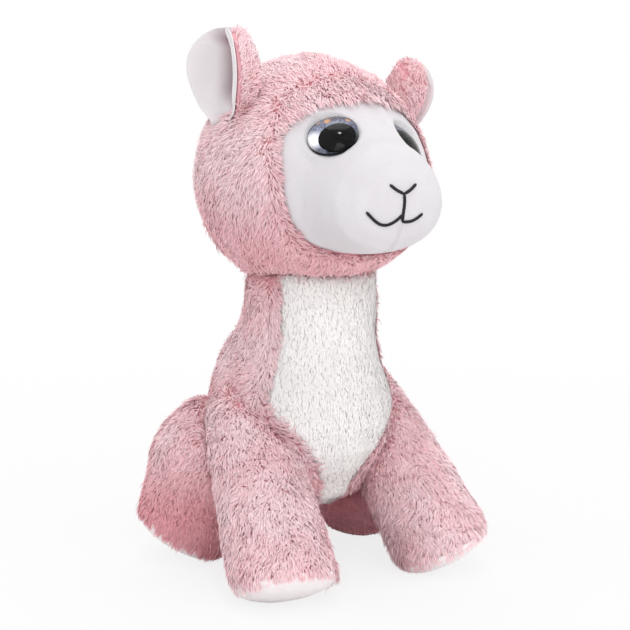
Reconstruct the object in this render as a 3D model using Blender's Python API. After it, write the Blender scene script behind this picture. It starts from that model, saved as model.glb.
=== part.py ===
"""A sitting plush llama: sewn fur covers over stuffing, a short-pile white face, chest, soles and ear
linings, domed plastic eyes on locked posts, and an embroidered nose and mouth. Metres, +Z up. The llama
looks along -Y, and its left side is +X. Places are given from the body's axis, and at the end the whole
toy is set with the middle of its footprint at the origin."""

import math

import bmesh
import bpy
from mathutils import Matrix, Vector
from mathutils.bvhtree import BVHTree

# Cloth
FABRIC = 0.0025  # backing and pressed pile together
SEAM_GAP = 0.0003  # between two pieces that touch
STUFFING_GAP = 0.0005  # between a cover and its stuffing

# Head
HEAD_WIDTH = 0.098
HEAD_TOP = 0.2245
HEAD_BOTTOM = 0.1220
HEAD_BACK = 0.049  # from the widest ring to the back of the head
HEAD_FORWARD = 0.006  # the widest ring, ahead of the body's axis
SNOUT_REACH = 0.062  # from the widest ring to the rounded end of the muzzle
SNOUT_WIDTH = 0.054
SNOUT_TOP = 0.190
SNOUT_BOTTOM = 0.1435
MUZZLE_ROUND = 0.017
# The loft from the widest ring to the muzzle's end ring. Each row is the share of the reach, the shares by
# which the half width, the top and the bottom have changed, and how much narrower the top is
HEAD_LOFT = (
    (0.0, 0.0, 0.0, 0.0, 0.05),
    (0.36, 0.11, 0.145, 0.26, 0.06),
    (0.62, 0.38, 0.475, 0.58, 0.10),
    (0.81, 0.865, 0.77, 0.90, 0.16),
    (1.0, 1.0, 1.0, 1.0, 0.16),
)
FACE_WIDTH = 0.071  # the white panel, seen from the front
FACE_TOP = 0.2045
FACE_BOTTOM = 0.1425
FACE_SQUARENESS = 2.6  # the exponent of the panel's outline, 2 for an oval

# Torso
NECK_WIDTH = 0.056
NECK_FORWARD = 0.0098
NECK_INTO_HEAD = 0.026
NECK_CAP = 0.012  # the rounded end inside the head
NECK_HEIGHT = 0.119  # this and the next five place the loft's rings
NECK_BASE_HEIGHT = 0.104
WITHERS_HEIGHT = 0.090
RIB_HEIGHT = 0.074
BELLY_HEIGHT = 0.055
SEAT_HEIGHT = 0.040
BODY_WIDTH = 0.080
BODY_DEPTH = 0.094
BODY_BACK = 0.004  # the widest ring, behind the body's axis
BODY_BOTTOM = 0.0235

# Chest panel
CHEST_TOP_WIDTH = 0.045
CHEST_WIDTH = 0.060
CHEST_TIP_WIDTH = 0.010
CHEST_INTO_HEAD = 0.020
CHEST_NECK_HEIGHT = 0.110  # this and the next five are where its width is set
CHEST_COLLAR_HEIGHT = 0.092
CHEST_BREAST_HEIGHT = 0.074
CHEST_WAIST_HEIGHT = 0.060
CHEST_LOW_HEIGHT = 0.045
CHEST_TIP_HEIGHT = 0.0265
CHEST_SEAM_FORWARD = 0.012  # the panel lies ahead of this

# Legs. A joint lies inside the torso, at shares of half the body's width and depth
SHOULDER_SHARES = (0.775, 0.043)
SHOULDER_HEIGHT = 0.0700
FRONT_FOOT = (0.0025, 0.0050)  # past the body's side, and ahead of its front
FRONT_STEP = (0.0, 0.0120)  # the right front foot is set this much further out and ahead
FRONT_LEG_RADIUS = 0.0190
FRONT_FOOT_RADIUS = 0.0220
FRONT_SOLE_LEANS = {"left": (0.40, 0.28), "right": (0.06, 0.44)}  # outwards and forward for each metre down
HIP_SHARES = (0.675, -0.28)
HIP_HEIGHT = 0.0545
HIND_FOOT = (0.0095, 0.0265)  # past the body's side, and ahead of its back
HAUNCH_RADIUS = 0.0312
HIND_FOOT_RADIUS = 0.0225
HIND_SOLE_LEANS = {"left": (0.50, -0.22), "right": (0.50, -0.22)}
SOLE_DOME = 0.008  # how far a sole bulges past its seam
SOLE_PRESS = 0.0013  # how far it is pressed flat

# Ears
EAR_ROOTS = {"left": (0.0385, 0.010, 0.189), "right": (0.0415, 0.008, 0.1975)}
EAR_LEANS = {"left": (0.28, 0.28), "right": (0.08, 0.16)}  # outwards and forward for each metre up
EAR_TURN = math.radians(65)  # of the lining, from straight ahead to the side
EAR_HEIGHT = 0.038
EAR_WIDTH = 0.0345
EAR_CUP = 0.010
EAR_LINING = 0.0018
EAR_RIM = 0.0012  # how far the lining shows past the back
EAR_GAP = 0.0007  # between the two layers
EAR_ROOT_SHARE = 0.15  # the turn, as a share of a half circle, at which the outline starts
EAR_FULLNESS = 1.35  # above 1, the widest place moves up
EAR_LAST_RING = 0.97  # how far up the ear, as a share, the last ring of points stands
EAR_THINNING = 0.8  # how much of a layer's thickness is gone at its edges
EAR_ROOT_SINK = 0.001  # the root's end lies this far below its place on the head

# Eyes
EYE_FROM_EDGE = 0.0173  # in from the face panel's side
EYE_HEIGHT = 0.1898
EYE_RADIUS = 0.0108
EYE_RIM = 0.0012
EYE_DOME = 0.0060
EYE_SINK = 0.0010  # how far the plate is pressed into the face
PLATE_THICK = 0.0012
PUPIL_RADIUS = 0.0080
PUPIL_SHIFT = (-0.0010, -0.0015)  # from the plate's middle: away from the nose, up
PUPIL_THICK = 0.0005
POST_RADIUS = 0.0022
POST_LENGTH = 0.0068
WASHER_RADIUS = 0.0065
WASHER_THICK = 0.0012
WASHER_DEPTH = 0.0032  # below the eye's plate

# Embroidery on the face: to the side, up
THREAD_RADIUS = 0.00065
NOSE_TIP = (0.0062, 0.1722)
NOSE_BASE = 0.1684
MOUTH_CENTRE = 0.1603
MOUTH_CORNERS = {"left": (0.0098, 0.1602), "right": (0.0155, 0.1616)}
MOUTH_SAGS = {"left": 0.0012, "right": 0.0048}  # of an arc, below the line from its corner to its end
MOUTH_STEP = 0.0030  # the left arc ends this much lower, along the muzzle's seam

# Tail
TAIL_ROOT = (0.0, -0.046, 0.036)
TAIL_LENGTH = 0.022
TAIL_RADIUS = 0.0095
TAIL_START = 0.004  # the rounded end inside the body
TAIL_LIFT = math.radians(25)

# Facets of the forms: sides, rings along, rings in a rounded end
HEAD_FACETS = (32, 9, 4)
HEAD_INNER_FACETS = (18, 7, 3)
TORSO_FACETS = (22, 13, 4)
TORSO_INNER_FACETS = (16, 9, 3)
LEG_FACETS = (16, 6, 4)
LEG_INNER_FACETS = (12, 5, 3)
TOOL_FACETS = 8

HANDS = {"left": 1, "right": -1}
SIDE = Vector((1, 0, 0))
UP = Vector((0, 0, 1))
AHEAD = Vector((0, -1, 0))


def place(side, forward, up):
    """The point this far to the llama's left, forward and up."""
    return SIDE * side + AHEAD * forward + UP * up


def material(name, colour, roughness=0.9):
    made = bpy.data.materials.new(name)
    made.use_nodes = True
    shader = made.node_tree.nodes["Principled BSDF"]
    shader.inputs["Base Color"].default_value = (*colour, 1.0)
    shader.inputs["Roughness"].default_value = roughness
    shader.inputs["Metallic"].default_value = 0.0
    made.diffuse_color = (*colour, 1.0)
    return made


def faced_out(bm):
    """The closed body with its faces pointing out."""
    bmesh.ops.recalc_face_normals(bm, faces=bm.faces)
    if bm.calc_volume(signed=True) < 0:
        bmesh.ops.reverse_faces(bm, faces=bm.faces)
    return bm


def add(name, bm, finish=None):
    """Makes an object of a bmesh, or a guide that only cuts other pieces where it has no finish."""
    faced_out(bm)
    mesh = bpy.data.meshes.new(name)
    bm.to_mesh(mesh)
    bm.free()
    made = bpy.data.objects.new(name, mesh)
    bpy.context.scene.collection.objects.link(made)
    if finish:
        mesh.shade_smooth()
        mesh.set_sharp_from_angle(angle=math.radians(50))
        mesh.materials.append(finish)
    else:
        made.hide_render = True
        made.display_type = "WIRE"
    return made


def cut(piece, cutter, operation="DIFFERENCE"):
    modifier = piece.modifiers.new(cutter.name, "BOOLEAN")
    modifier.object = cutter
    modifier.operation = operation
    modifier.solver = "EXACT"


def catmull(a, b, c, d, t):
    """The value between b and c on a smooth curve through a, b, c and d."""
    bend = (2 * a - 5 * b + 4 * c - d) * t * t + (3 * b - a - 3 * c + d) * t ** 3
    return 0.5 * (2 * b + (c - a) * t + bend)


def along(rows, count):
    """count rows read from a smooth curve through the given rows of numbers."""
    made = []
    for i in range(count):
        at = i * (len(rows) - 1) / (count - 1)
        k = min(int(at), len(rows) - 2)
        near = [rows[min(max(k + j, 0), len(rows) - 1)] for j in (-1, 0, 1, 2)]
        made.append([catmull(*column, at - k) for column in zip(*near)])
    return made


def ring(centre, side, up, half_width, above, below, sides, egg=0.0):
    """Points round an oval whose upper and lower halves may differ. egg above 0 narrows the top."""
    points = []
    for i in range(sides):
        turn = math.tau * i / sides
        high = math.sin(turn)
        wide = math.cos(turn) * (1 - egg * high)
        points.append(centre + side * half_width * wide + up * (above if high > 0 else below) * high)
    return points


def skin(rings, poles):
    """A closed body through rings of points, ended by two poles."""
    bm = bmesh.new()
    loops = [[bm.verts.new(point) for point in points] for points in rings]
    for first, second in zip(loops, loops[1:]):
        for i in range(len(first)):
            j = (i + 1) % len(first)
            bm.faces.new((first[i], first[j], second[j], second[i]))
    for loop, pole in zip((loops[0], loops[-1]), poles):
        tip = bm.verts.new(pole)
        for i in range(len(loop)):
            bm.faces.new((loop[i], loop[(i + 1) % len(loop)], tip))
    return faced_out(bm)


def rounded_skin(rings, centres, ways, lengths, steps):
    """The same with a quarter-round end, of its own length, past each end ring."""
    ends = []
    for points, centre, way, length in zip((rings[0], rings[-1]), centres, ways, lengths):
        end = []
        for i in range(1, steps):
            turn = math.pi / 2 * i / steps
            shrink, reach = math.cos(turn), way * length * math.sin(turn)
            end.append([centre + (point - centre) * shrink + reach for point in points])
        ends.append(end)
    poles = [centre + way * length for centre, way, length in zip(centres, ways, lengths)]
    return skin(ends[0][::-1] + rings + ends[1], poles)


def shrunk(bm, distance):
    """The closed surface moved inwards by the distance, or outwards where it is negative."""
    bm.normal_update()
    moves = [(vert, vert.normal * distance * vert.calc_shell_factor()) for vert in bm.verts]
    for vert, move in moves:
        vert.co -= move
    return bm


def flattened(bm, height):
    """The closed surface cut level at the height, keeping what is above."""
    everything = bm.verts[:] + bm.edges[:] + bm.faces[:]
    bmesh.ops.bisect_plane(bm, geom=everything, plane_co=UP * height, plane_no=-UP, clear_outer=True)
    rim = [edge for edge in bm.edges if edge.is_boundary]
    if rim:
        bmesh.ops.edgeloop_fill(bm, edges=rim)
    return bm


def mirrored(bm, hand):
    """The body for the left side, or for the right side where hand is -1."""
    if hand < 0:
        bmesh.ops.scale(bm, vec=(-1, 1, 1), verts=bm.verts)
        bmesh.ops.reverse_faces(bm, faces=bm.faces)
    return bm


def prism(outline, start, end):
    """The outline, given to the side and up, swept forward from start to end."""
    rings = [[place(side, forward, up) for side, up in outline] for forward in (start, end)]
    middle_up = sum(up for side, up in outline) / len(outline)
    return skin(rings, [place(0, start, middle_up), place(0, end, middle_up)])


def turned(profile, sides):
    """A body of revolution about local Z from (radius, height) pairs that start and end at radius 0."""
    rings = [
        [Vector((radius * math.cos(turn), radius * math.sin(turn), height)) for turn in turns(sides)]
        for radius, height in profile[1:-1]
    ]
    return skin(rings, [Vector((0, 0, profile[0][1])), Vector((0, 0, profile[-1][1]))])


def turns(sides):
    return [math.tau * i / sides for i in range(sides)]


def head_form(sides, count, steps):
    """The outside of the stuffed head, a loft along the snout."""
    half = HEAD_WIDTH / 2
    rings = []
    for share, narrower, lower, higher, egg in along(HEAD_LOFT, count):
        half_width = half + (SNOUT_WIDTH / 2 - half) * narrower
        top = HEAD_TOP + (SNOUT_TOP - HEAD_TOP) * lower
        bottom = HEAD_BOTTOM + (SNOUT_BOTTOM - HEAD_BOTTOM) * higher
        middle = (top + bottom) / 2
        centre = place(0, HEAD_FORWARD + SNOUT_REACH * share, middle)
        rings.append(ring(centre, SIDE, UP, half_width, top - middle, middle - bottom, sides, egg))
    centres = [
        place(0, HEAD_FORWARD, (HEAD_TOP + HEAD_BOTTOM) / 2),
        place(0, HEAD_FORWARD + SNOUT_REACH, (SNOUT_TOP + SNOUT_BOTTOM) / 2),
    ]
    return rounded_skin(rings, centres, (-AHEAD, AHEAD), (HEAD_BACK, MUZZLE_ROUND), steps)


def torso_form(sides, count, steps):
    """The outside of the stuffed neck and body, a loft down the spine."""
    neck = NECK_WIDTH / 2
    wide = BODY_WIDTH / 2
    deep = BODY_DEPTH / 2
    # up, forward, half width, half depth
    rows = [
        (HEAD_BOTTOM + NECK_INTO_HEAD, NECK_FORWARD, 0.95 * neck, 0.95 * neck),
        (NECK_HEIGHT, NECK_FORWARD, 1.01 * neck, 1.05 * neck),
        (NECK_BASE_HEIGHT, 0.62 * NECK_FORWARD, 1.04 * neck, 1.13 * neck),
        (WITHERS_HEIGHT, -0.25 * BODY_BACK, 0.83 * wide, 0.90 * deep),
        (RIB_HEIGHT, 0.0, 0.955 * wide, 0.985 * deep),
        (BELLY_HEIGHT, -BODY_BACK, wide, deep),
        (SEAT_HEIGHT, -2 * BODY_BACK, 0.92 * wide, 0.87 * deep),
    ]
    rings = []
    for up, forward, half_width, half_depth in along(rows, count):
        rings.append(ring(place(0, forward, up), SIDE, AHEAD, half_width, half_depth, half_depth, sides))
    centres = [place(0, rows[0][1], rows[0][0]), place(0, rows[-1][1], rows[-1][0])]
    lengths = (NECK_CAP, SEAT_HEIGHT - BODY_BOTTOM)
    return rounded_skin(rings, centres, (UP, -UP), lengths, steps)


def sole_frame(foot, foot_radius, lean):
    """The middle of a foot's seam, at the height that lets its sole press flat, and the sole's normal."""
    facing = (SIDE * lean[0] + AHEAD * lean[1] - UP).normalized()
    level = math.hypot(facing.x, facing.y)
    reach = math.hypot(foot_radius * level, SOLE_DOME * facing.z)
    return place(*foot, reach - SOLE_PRESS), facing


def leg_form(joint, foot, top_radius, foot_radius, lean, sides, count, steps):
    """The outside of a stuffed left leg, from inside the torso to its domed sole."""
    start = place(*joint)
    end, facing = sole_frame(foot, foot_radius, lean)
    way = (end - start).normalized()
    # share of the way down, radius, turn towards the sole's normal
    rows = [
        (0.0, 0.85 * top_radius, 0.0),
        (0.35, top_radius, 0.0),
        (0.75, 0.3 * top_radius + 0.7 * foot_radius, 0.35),
        (1.0, foot_radius, 1.0),
    ]
    rings = []
    for share, radius, turn in along(rows, count):
        ahead = way.lerp(facing, turn).normalized()
        side = ahead.cross(UP).normalized()
        rings.append(ring(start.lerp(end, share), side, side.cross(ahead), radius, radius, radius, sides))
    lengths = (0.5 * top_radius, SOLE_DOME)
    return rounded_skin(rings, [start, end], (-way, facing), lengths, steps)


def face_outline(grow, points=28):
    """The rounded outline of the face panel."""
    half_width = FACE_WIDTH / 2 + grow
    half_height = (FACE_TOP - FACE_BOTTOM) / 2 + grow
    outline = []
    for turn in turns(points):
        wide, high = math.cos(turn), math.sin(turn)
        side = half_width * math.copysign(abs(wide) ** (2 / FACE_SQUARENESS), wide)
        up = half_height * math.copysign(abs(high) ** (2 / FACE_SQUARENESS), high)
        outline.append((side, (FACE_TOP + FACE_BOTTOM) / 2 + up))
    return outline


def chest_outline(grow, count=12):
    """The chest panel: a long shield that narrows between the front legs."""
    # up, half width
    rows = [
        (HEAD_BOTTOM + CHEST_INTO_HEAD, CHEST_TOP_WIDTH / 2),
        (CHEST_NECK_HEIGHT, CHEST_TOP_WIDTH / 2),
        (CHEST_COLLAR_HEIGHT, 0.82 * CHEST_WIDTH / 2),
        (CHEST_BREAST_HEIGHT, CHEST_WIDTH / 2),
        (CHEST_WAIST_HEIGHT, 0.62 * CHEST_WIDTH / 2),
        (CHEST_LOW_HEIGHT, 1.9 * CHEST_TIP_WIDTH / 2),
        (CHEST_TIP_HEIGHT, CHEST_TIP_WIDTH / 2),
    ]
    left = [(half_width + grow, up) for up, half_width in along(rows, count)]
    tip = (0, CHEST_TIP_HEIGHT - CHEST_TIP_WIDTH / 3 - grow)
    right = [(-side, up) for side, up in reversed(left)]
    return left + [tip] + right


def leg_pair(name, joint, feet, radii, leans, cutters, finishes):
    """A front or hind pair: covers, soles and stuffing. Gives the grown forms, for what they press on."""
    grown = {}
    for side, hand in HANDS.items():
        values = (joint, feet[side], *radii, leans[side])
        outer = mirrored(flattened(leg_form(*values, *LEG_FACETS), 0.0), hand)
        inner = mirrored(flattened(shrunk(leg_form(*values, *LEG_INNER_FACETS), FABRIC), FABRIC), hand)
        inner_guide = add(f"{name}_{side}_inside", inner)
        end, facing = sole_frame(feet[side], radii[1], leans[side])
        past = radii[1] + SOLE_DOME
        turn = facing.to_track_quat("Z", "Y").to_matrix().to_4x4()
        half_spaces = []
        for grow in (0.0, SEAM_GAP):
            body = turned([(0, -grow), (2 * past, -grow), (2 * past, past), (0, past)], TOOL_FACETS)
            body.transform(Matrix.Translation(end) @ turn)
            half_spaces.append(add(f"{name}_{side}_beyond_seam_{len(half_spaces)}", mirrored(body, hand)))
        cover = add(f"{name}_leg_{side}", outer.copy(), finishes["pink"])
        sole = add(f"{name}_sole_{side}", outer, finishes["white"])
        cut(cover, inner_guide)
        cut(cover, half_spaces[1])
        cut(sole, inner_guide)
        cut(sole, half_spaces[0], "INTERSECT")
        filling = shrunk(leg_form(*values, *LEG_INNER_FACETS), FABRIC + STUFFING_GAP)
        filling = mirrored(flattened(filling, FABRIC + STUFFING_GAP), hand)
        stuffing = add(f"{name}_leg_stuffing_{side}", filling, finishes["stuffing"])
        for cutter in cutters[side]:
            cut(cover, cutter)
            cut(stuffing, cutter)
        body = mirrored(shrunk(leg_form(*values, *LEG_FACETS), -SEAM_GAP), hand)
        grown[side] = add(f"{name}_{side}_room", body)
    return grown


def ear_layer(which, inset, front, back, points=7, count=7):
    """A cupped leaf between two distances in front of the ear's middle surface."""
    outwards, forwards = EAR_LEANS[which]
    lean = (UP + SIDE * outwards + AHEAD * forwards).normalized()
    facing = (AHEAD * math.cos(EAR_TURN) + SIDE * math.sin(EAR_TURN)).normalized()
    across = lean.cross(facing).normalized()
    facing = across.cross(lean)
    root = place(*EAR_ROOTS[which])
    rings = []
    for i in range(count):
        share = EAR_LAST_RING * i / (count - 1)
        height = (EAR_HEIGHT - inset) * share
        turn = math.pi * (EAR_ROOT_SHARE + (1 - EAR_ROOT_SHARE) * (height / EAR_HEIGHT) ** EAR_FULLNESS)
        outline = EAR_WIDTH / 2 * math.sqrt(math.sin(turn))
        half_width = outline - inset * outline / (EAR_WIDTH / 2)
        middle = root + lean * height - facing * EAR_CUP / 2
        loop = []
        for level, reverse in ((front, False), (back, True)):
            row = []
            for j in range(points):
                wide = -1 + 2 * j / (points - 1)
                thin = math.sqrt(1 - EAR_THINNING * wide * wide)
                depth = EAR_CUP * (half_width * wide) ** 2 / (outline * EAR_WIDTH / 2) + level * thin
                row.append(middle + across * half_width * wide + facing * depth)
            loop += reversed(row) if reverse else row
        rings.append(loop)
    centre = (front + back) / 2
    poles = [
        root - lean * EAR_ROOT_SINK + facing * (centre - EAR_CUP / 2),
        root + lean * (EAR_HEIGHT - inset) + facing * (centre - EAR_CUP / 2),
    ]
    return mirrored(skin(rings, poles), HANDS[which])


def surface_at(tree, side, up):
    """The point and normal of the head where the llama is looked at from the front."""
    point, normal, index, distance = tree.ray_cast(place(side, 1.0, up), -AHEAD)
    return point, normal


def eye_frame(tree):
    """Where the left eye's plate lies: on the face, square to the cloth around it."""
    side, up = FACE_WIDTH / 2 - EYE_FROM_EDGE, EYE_HEIGHT
    centre, normal = surface_at(tree, side, up)
    mean = normal.copy()
    for turn in turns(8):
        wide = side + 0.7 * EYE_RADIUS * math.cos(turn)
        mean += surface_at(tree, wide, up + 0.7 * EYE_RADIUS * math.sin(turn))[1]
    mean.normalize()
    turn = mean.to_track_quat("Z", "Y").to_matrix().to_4x4()
    return Matrix.Translation(centre - mean * EYE_SINK) @ turn


def eye_clearance(sides=16):
    """The room that an eye, its post and its washer take in the cloth and the stuffing."""
    gap = SEAM_GAP
    wider = 1 / math.cos(math.pi / sides)
    top = -WASHER_DEPTH + gap
    bottom = -WASHER_DEPTH - WASHER_THICK - gap
    profile = [
        (0, -POST_LENGTH - gap),
        (POST_RADIUS + gap, -POST_LENGTH - gap),
        (POST_RADIUS + gap, bottom),
        (WASHER_RADIUS + gap, bottom),
        (WASHER_RADIUS + gap, top),
        (POST_RADIUS + gap, top),
        (POST_RADIUS + gap, -gap),
        (EYE_RADIUS + gap, -gap),
        (EYE_RADIUS + gap, EYE_DOME),
        (0, EYE_DOME),
    ]
    return turned([(radius * wider, height) for radius, height in profile], sides)


def eye_lens():
    """The clear dome."""
    rise = EYE_DOME - EYE_RIM
    bend = (EYE_RADIUS ** 2 + rise ** 2) / (2 * rise)
    reach = math.asin(EYE_RADIUS / bend)
    base = PLATE_THICK + SEAM_GAP
    profile = [(0, base), (EYE_RADIUS, base)]
    for i in range(4):
        turn = reach * (1 - i / 4)
        height = EYE_RIM + rise - bend * (1 - math.cos(turn))
        profile.append((bend * math.sin(turn), base + height))
    return turned(profile + [(0, base + EYE_DOME)], 20)


def eye_plate():
    """The iris plate on its post."""
    profile = [
        (0, -POST_LENGTH),
        (POST_RADIUS, -POST_LENGTH),
        (POST_RADIUS, 0),
        (EYE_RADIUS, 0),
        (EYE_RADIUS, PLATE_THICK),
        (0, PLATE_THICK),
    ]
    return turned(profile, 20)


def eye_pupil(grow=0.0):
    """The pupil's disc, off the plate's middle, or the room that it takes in the dome."""
    low = PLATE_THICK + SEAM_GAP - grow
    high = PLATE_THICK + SEAM_GAP + PUPIL_THICK + grow
    radius = PUPIL_RADIUS + grow
    bm = turned([(0, low), (radius, low), (radius, high), (0, high)], 20)
    bmesh.ops.translate(bm, verts=bm.verts, vec=(*PUPIL_SHIFT, 0))
    return bm


def eye_washer():
    """The locking washer, a ring on the post behind the cloth."""
    bm = bmesh.new()
    loops = []
    for radius, height in (
        (POST_RADIUS + SEAM_GAP, -WASHER_DEPTH),
        (WASHER_RADIUS, -WASHER_DEPTH),
        (WASHER_RADIUS, -WASHER_DEPTH - WASHER_THICK),
        (POST_RADIUS + SEAM_GAP, -WASHER_DEPTH - WASHER_THICK),
    ):
        corners = [(radius * math.cos(turn), radius * math.sin(turn), height) for turn in turns(12)]
        loops.append([bm.verts.new(corner) for corner in corners])
    for first, second in zip(loops, loops[1:] + loops[:1]):
        for i in range(12):
            j = (i + 1) % 12
            bm.faces.new((first[i], first[j], second[j], second[i]))
    return bm


def thread(tree, points, count):
    """A raised line of stitching through points given to the side and up."""
    lift = THREAD_RADIUS + SEAM_GAP
    path = []
    for side, up in along(points, count):
        point, normal = surface_at(tree, side, up)
        path.append((point + normal * lift, normal))
    rings = []
    for i, (point, normal) in enumerate(path):
        before, after = path[max(i - 1, 0)][0], path[min(i + 1, count - 1)][0]
        way = (after - before).normalized()
        side = way.cross(normal).normalized()
        rings.append(ring(point, side, side.cross(way), *[THREAD_RADIUS] * 3, 6))
    first = (path[0][0] - path[1][0]).normalized()
    last = (path[-1][0] - path[-2][0]).normalized()
    poles = [path[0][0] + first * THREAD_RADIUS / 2, path[-1][0] + last * THREAD_RADIUS / 2]
    return skin(rings, poles)


def smile(side, count):
    """One of the mouth's arcs, from its corner to its end by the muzzle's seam."""
    corner = MOUTH_CORNERS[side]
    end = MOUTH_CENTRE - (MOUTH_STEP if side == "left" else 0)
    points = []
    for i in range(count):
        share = i / (count - 1)
        up = corner[1] + (end - corner[1]) * share - MOUTH_SAGS[side] * math.sin(math.pi * share)
        points.append((HANDS[side] * corner[0] * (1 - share), up))
    return points


def tail_form():
    """A short stuffed tail, from inside the torso out behind it."""
    root = place(*TAIL_ROOT)
    way = -AHEAD * math.cos(TAIL_LIFT) + UP * math.sin(TAIL_LIFT)
    up = SIDE.cross(way)
    rings = []
    for share, radius in ((0.0, 0.8), (0.3, 0.95), (0.6, 1.0)):
        centre = root + way * TAIL_LENGTH * share
        rings.append(ring(centre, SIDE, up, *[radius * TAIL_RADIUS] * 3, 12))
    centres = [root, root + way * TAIL_LENGTH * 0.6]
    return rounded_skin(rings, centres, (-way, way), (TAIL_START, TAIL_LENGTH * 0.4), 3)


def build_torso(finishes):
    outer = torso_form(*TORSO_FACETS)
    inside = add("torso_inside", shrunk(torso_form(*TORSO_INNER_FACETS), FABRIC))
    head_room = add("head_room", shrunk(head_form(*HEAD_FACETS), -SEAM_GAP))
    chest_guide = add("chest_cut", prism(chest_outline(0.0), CHEST_SEAM_FORWARD, BODY_DEPTH))
    behind_seam = CHEST_SEAM_FORWARD - SEAM_GAP
    chest_room = add("chest_room", prism(chest_outline(SEAM_GAP), behind_seam, BODY_DEPTH))
    cover = add("torso_cover", outer.copy(), finishes["pink"])
    chest = add("chest_panel", outer, finishes["white"])
    for piece in (cover, chest):
        cut(piece, inside)
        cut(piece, head_room)
    cut(cover, chest_room)
    cut(chest, chest_guide, "INTERSECT")
    filling = shrunk(torso_form(*TORSO_INNER_FACETS), FABRIC + STUFFING_GAP)
    stuffing = add("torso_stuffing", filling, finishes["stuffing"])
    room = add("head_stuffing_room", shrunk(head_form(*HEAD_INNER_FACETS), FABRIC))
    cut(stuffing, room)
    return inside


def build_head(torso_inside, finishes):
    outer = head_form(*HEAD_FACETS)
    tree = BVHTree.FromBMesh(outer)
    inside = add("head_inside", shrunk(head_form(*HEAD_INNER_FACETS), FABRIC))
    start, end = HEAD_FORWARD, HEAD_FORWARD + SNOUT_REACH + 2 * MUZZLE_ROUND
    face_guide = add("face_cut", prism(face_outline(0.0), start, end))
    face_room = add("face_room", prism(face_outline(SEAM_GAP), start - SEAM_GAP, end))
    cover = add("head_cover", outer.copy(), finishes["pink"])
    face = add("face_panel", outer, finishes["white"])
    filling = shrunk(head_form(*HEAD_INNER_FACETS), FABRIC + STUFFING_GAP)
    stuffing = add("head_stuffing", filling, finishes["stuffing"])
    cut(cover, inside)
    cut(cover, torso_inside)
    cut(cover, face_room)
    cut(face, inside)
    cut(face, face_guide, "INTERSECT")
    for side, hand in HANDS.items():
        frame = eye_frame(tree)
        room = eye_clearance()
        room.transform(frame)
        room_guide = add(f"eye_room_{side}", mirrored(room, hand))
        cut(face, room_guide)
        cut(stuffing, room_guide)
        for name, made, finish in (
            ("eye_lens", eye_lens(), "clear"),
            ("eye_iris", eye_plate(), "iris"),
            ("eye_pupil", eye_pupil(), "black"),
            ("eye_washer", eye_washer(), "washer"),
        ):
            made.transform(frame)
            add(f"{name}_{side}", mirrored(made, hand), finishes[finish])
        pocket = eye_pupil(SEAM_GAP)
        pocket.transform(frame)
        cut(bpy.data.objects[f"eye_lens_{side}"], add(f"pupil_room_{side}", mirrored(pocket, hand)))
    gap = 2 * THREAD_RADIUS + SEAM_GAP
    side, up = NOSE_TIP
    add("nose_stitch", thread(tree, [(-side, up), (0, NOSE_BASE), (side, up)], 11), finishes["thread"])
    stem = [(0, NOSE_BASE - gap), (0, MOUTH_CENTRE + gap)]
    add("lip_stitch", thread(tree, stem, 5), finishes["thread"])
    mouth = smile("right", 9) + smile("left", 6)[::-1]
    add("mouth_stitch", thread(tree, mouth, len(mouth)), finishes["thread"])


def build_legs(finishes):
    torso_room = add("torso_room", shrunk(torso_form(*TORSO_FACETS), -SEAM_GAP))
    cutters = {"left": [torso_room], "right": [torso_room]}
    wide, deep = BODY_WIDTH / 2, BODY_DEPTH / 2
    feet = {"left": (wide + FRONT_FOOT[0], deep + FRONT_FOOT[1])}
    feet["right"] = tuple(value + step for value, step in zip(feet["left"], FRONT_STEP))
    radii = (FRONT_LEG_RADIUS, FRONT_FOOT_RADIUS)
    joint = (SHOULDER_SHARES[0] * wide, SHOULDER_SHARES[1] * deep, SHOULDER_HEIGHT)
    grown = leg_pair("front", joint, feet, radii, FRONT_SOLE_LEANS, cutters, finishes)
    cutters = {side: [torso_room, grown[side]] for side in grown}
    feet = {side: (wide + HIND_FOOT[0], HIND_FOOT[1] - deep) for side in HANDS}
    radii = (HAUNCH_RADIUS, HIND_FOOT_RADIUS)
    joint = (HIP_SHARES[0] * wide, HIP_SHARES[1] * deep, HIP_HEIGHT)
    leg_pair("hind", joint, feet, radii, HIND_SOLE_LEANS, cutters, finishes)
    tail = add("tail", tail_form(), finishes["pink"])
    cut(tail, torso_room)


def build_ears(finishes):
    head_room = bpy.data.objects["head_room"]
    half_gap = EAR_GAP / 2
    for side in HANDS:
        back = ear_layer(side, EAR_RIM, -half_gap, -half_gap - FABRIC)
        lining = ear_layer(side, 0.0, half_gap + EAR_LINING, half_gap)
        cut(add(f"ear_back_{side}", back, finishes["pink"]), head_room)
        cut(add(f"ear_lining_{side}", lining, finishes["white"]), head_room)


def stand_at_origin():
    """Sets the middle of the llama's box over the origin, on the floor."""
    bpy.context.view_layer.update()
    graph = bpy.context.evaluated_depsgraph_get()
    everything = list(bpy.context.scene.objects)
    shown = [piece.evaluated_get(graph) for piece in everything if not piece.hide_render]
    corners = [piece.matrix_world @ Vector(corner) for piece in shown for corner in piece.bound_box]
    middle = [(min(values) + max(values)) / 2 for values in zip(*corners)]
    carrier = bpy.data.objects.new("llama", None)
    bpy.context.scene.collection.objects.link(carrier)
    for piece in everything:
        piece.parent = carrier
    carrier.location = (-middle[0], -middle[1], -min(corner.z for corner in corners))


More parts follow.
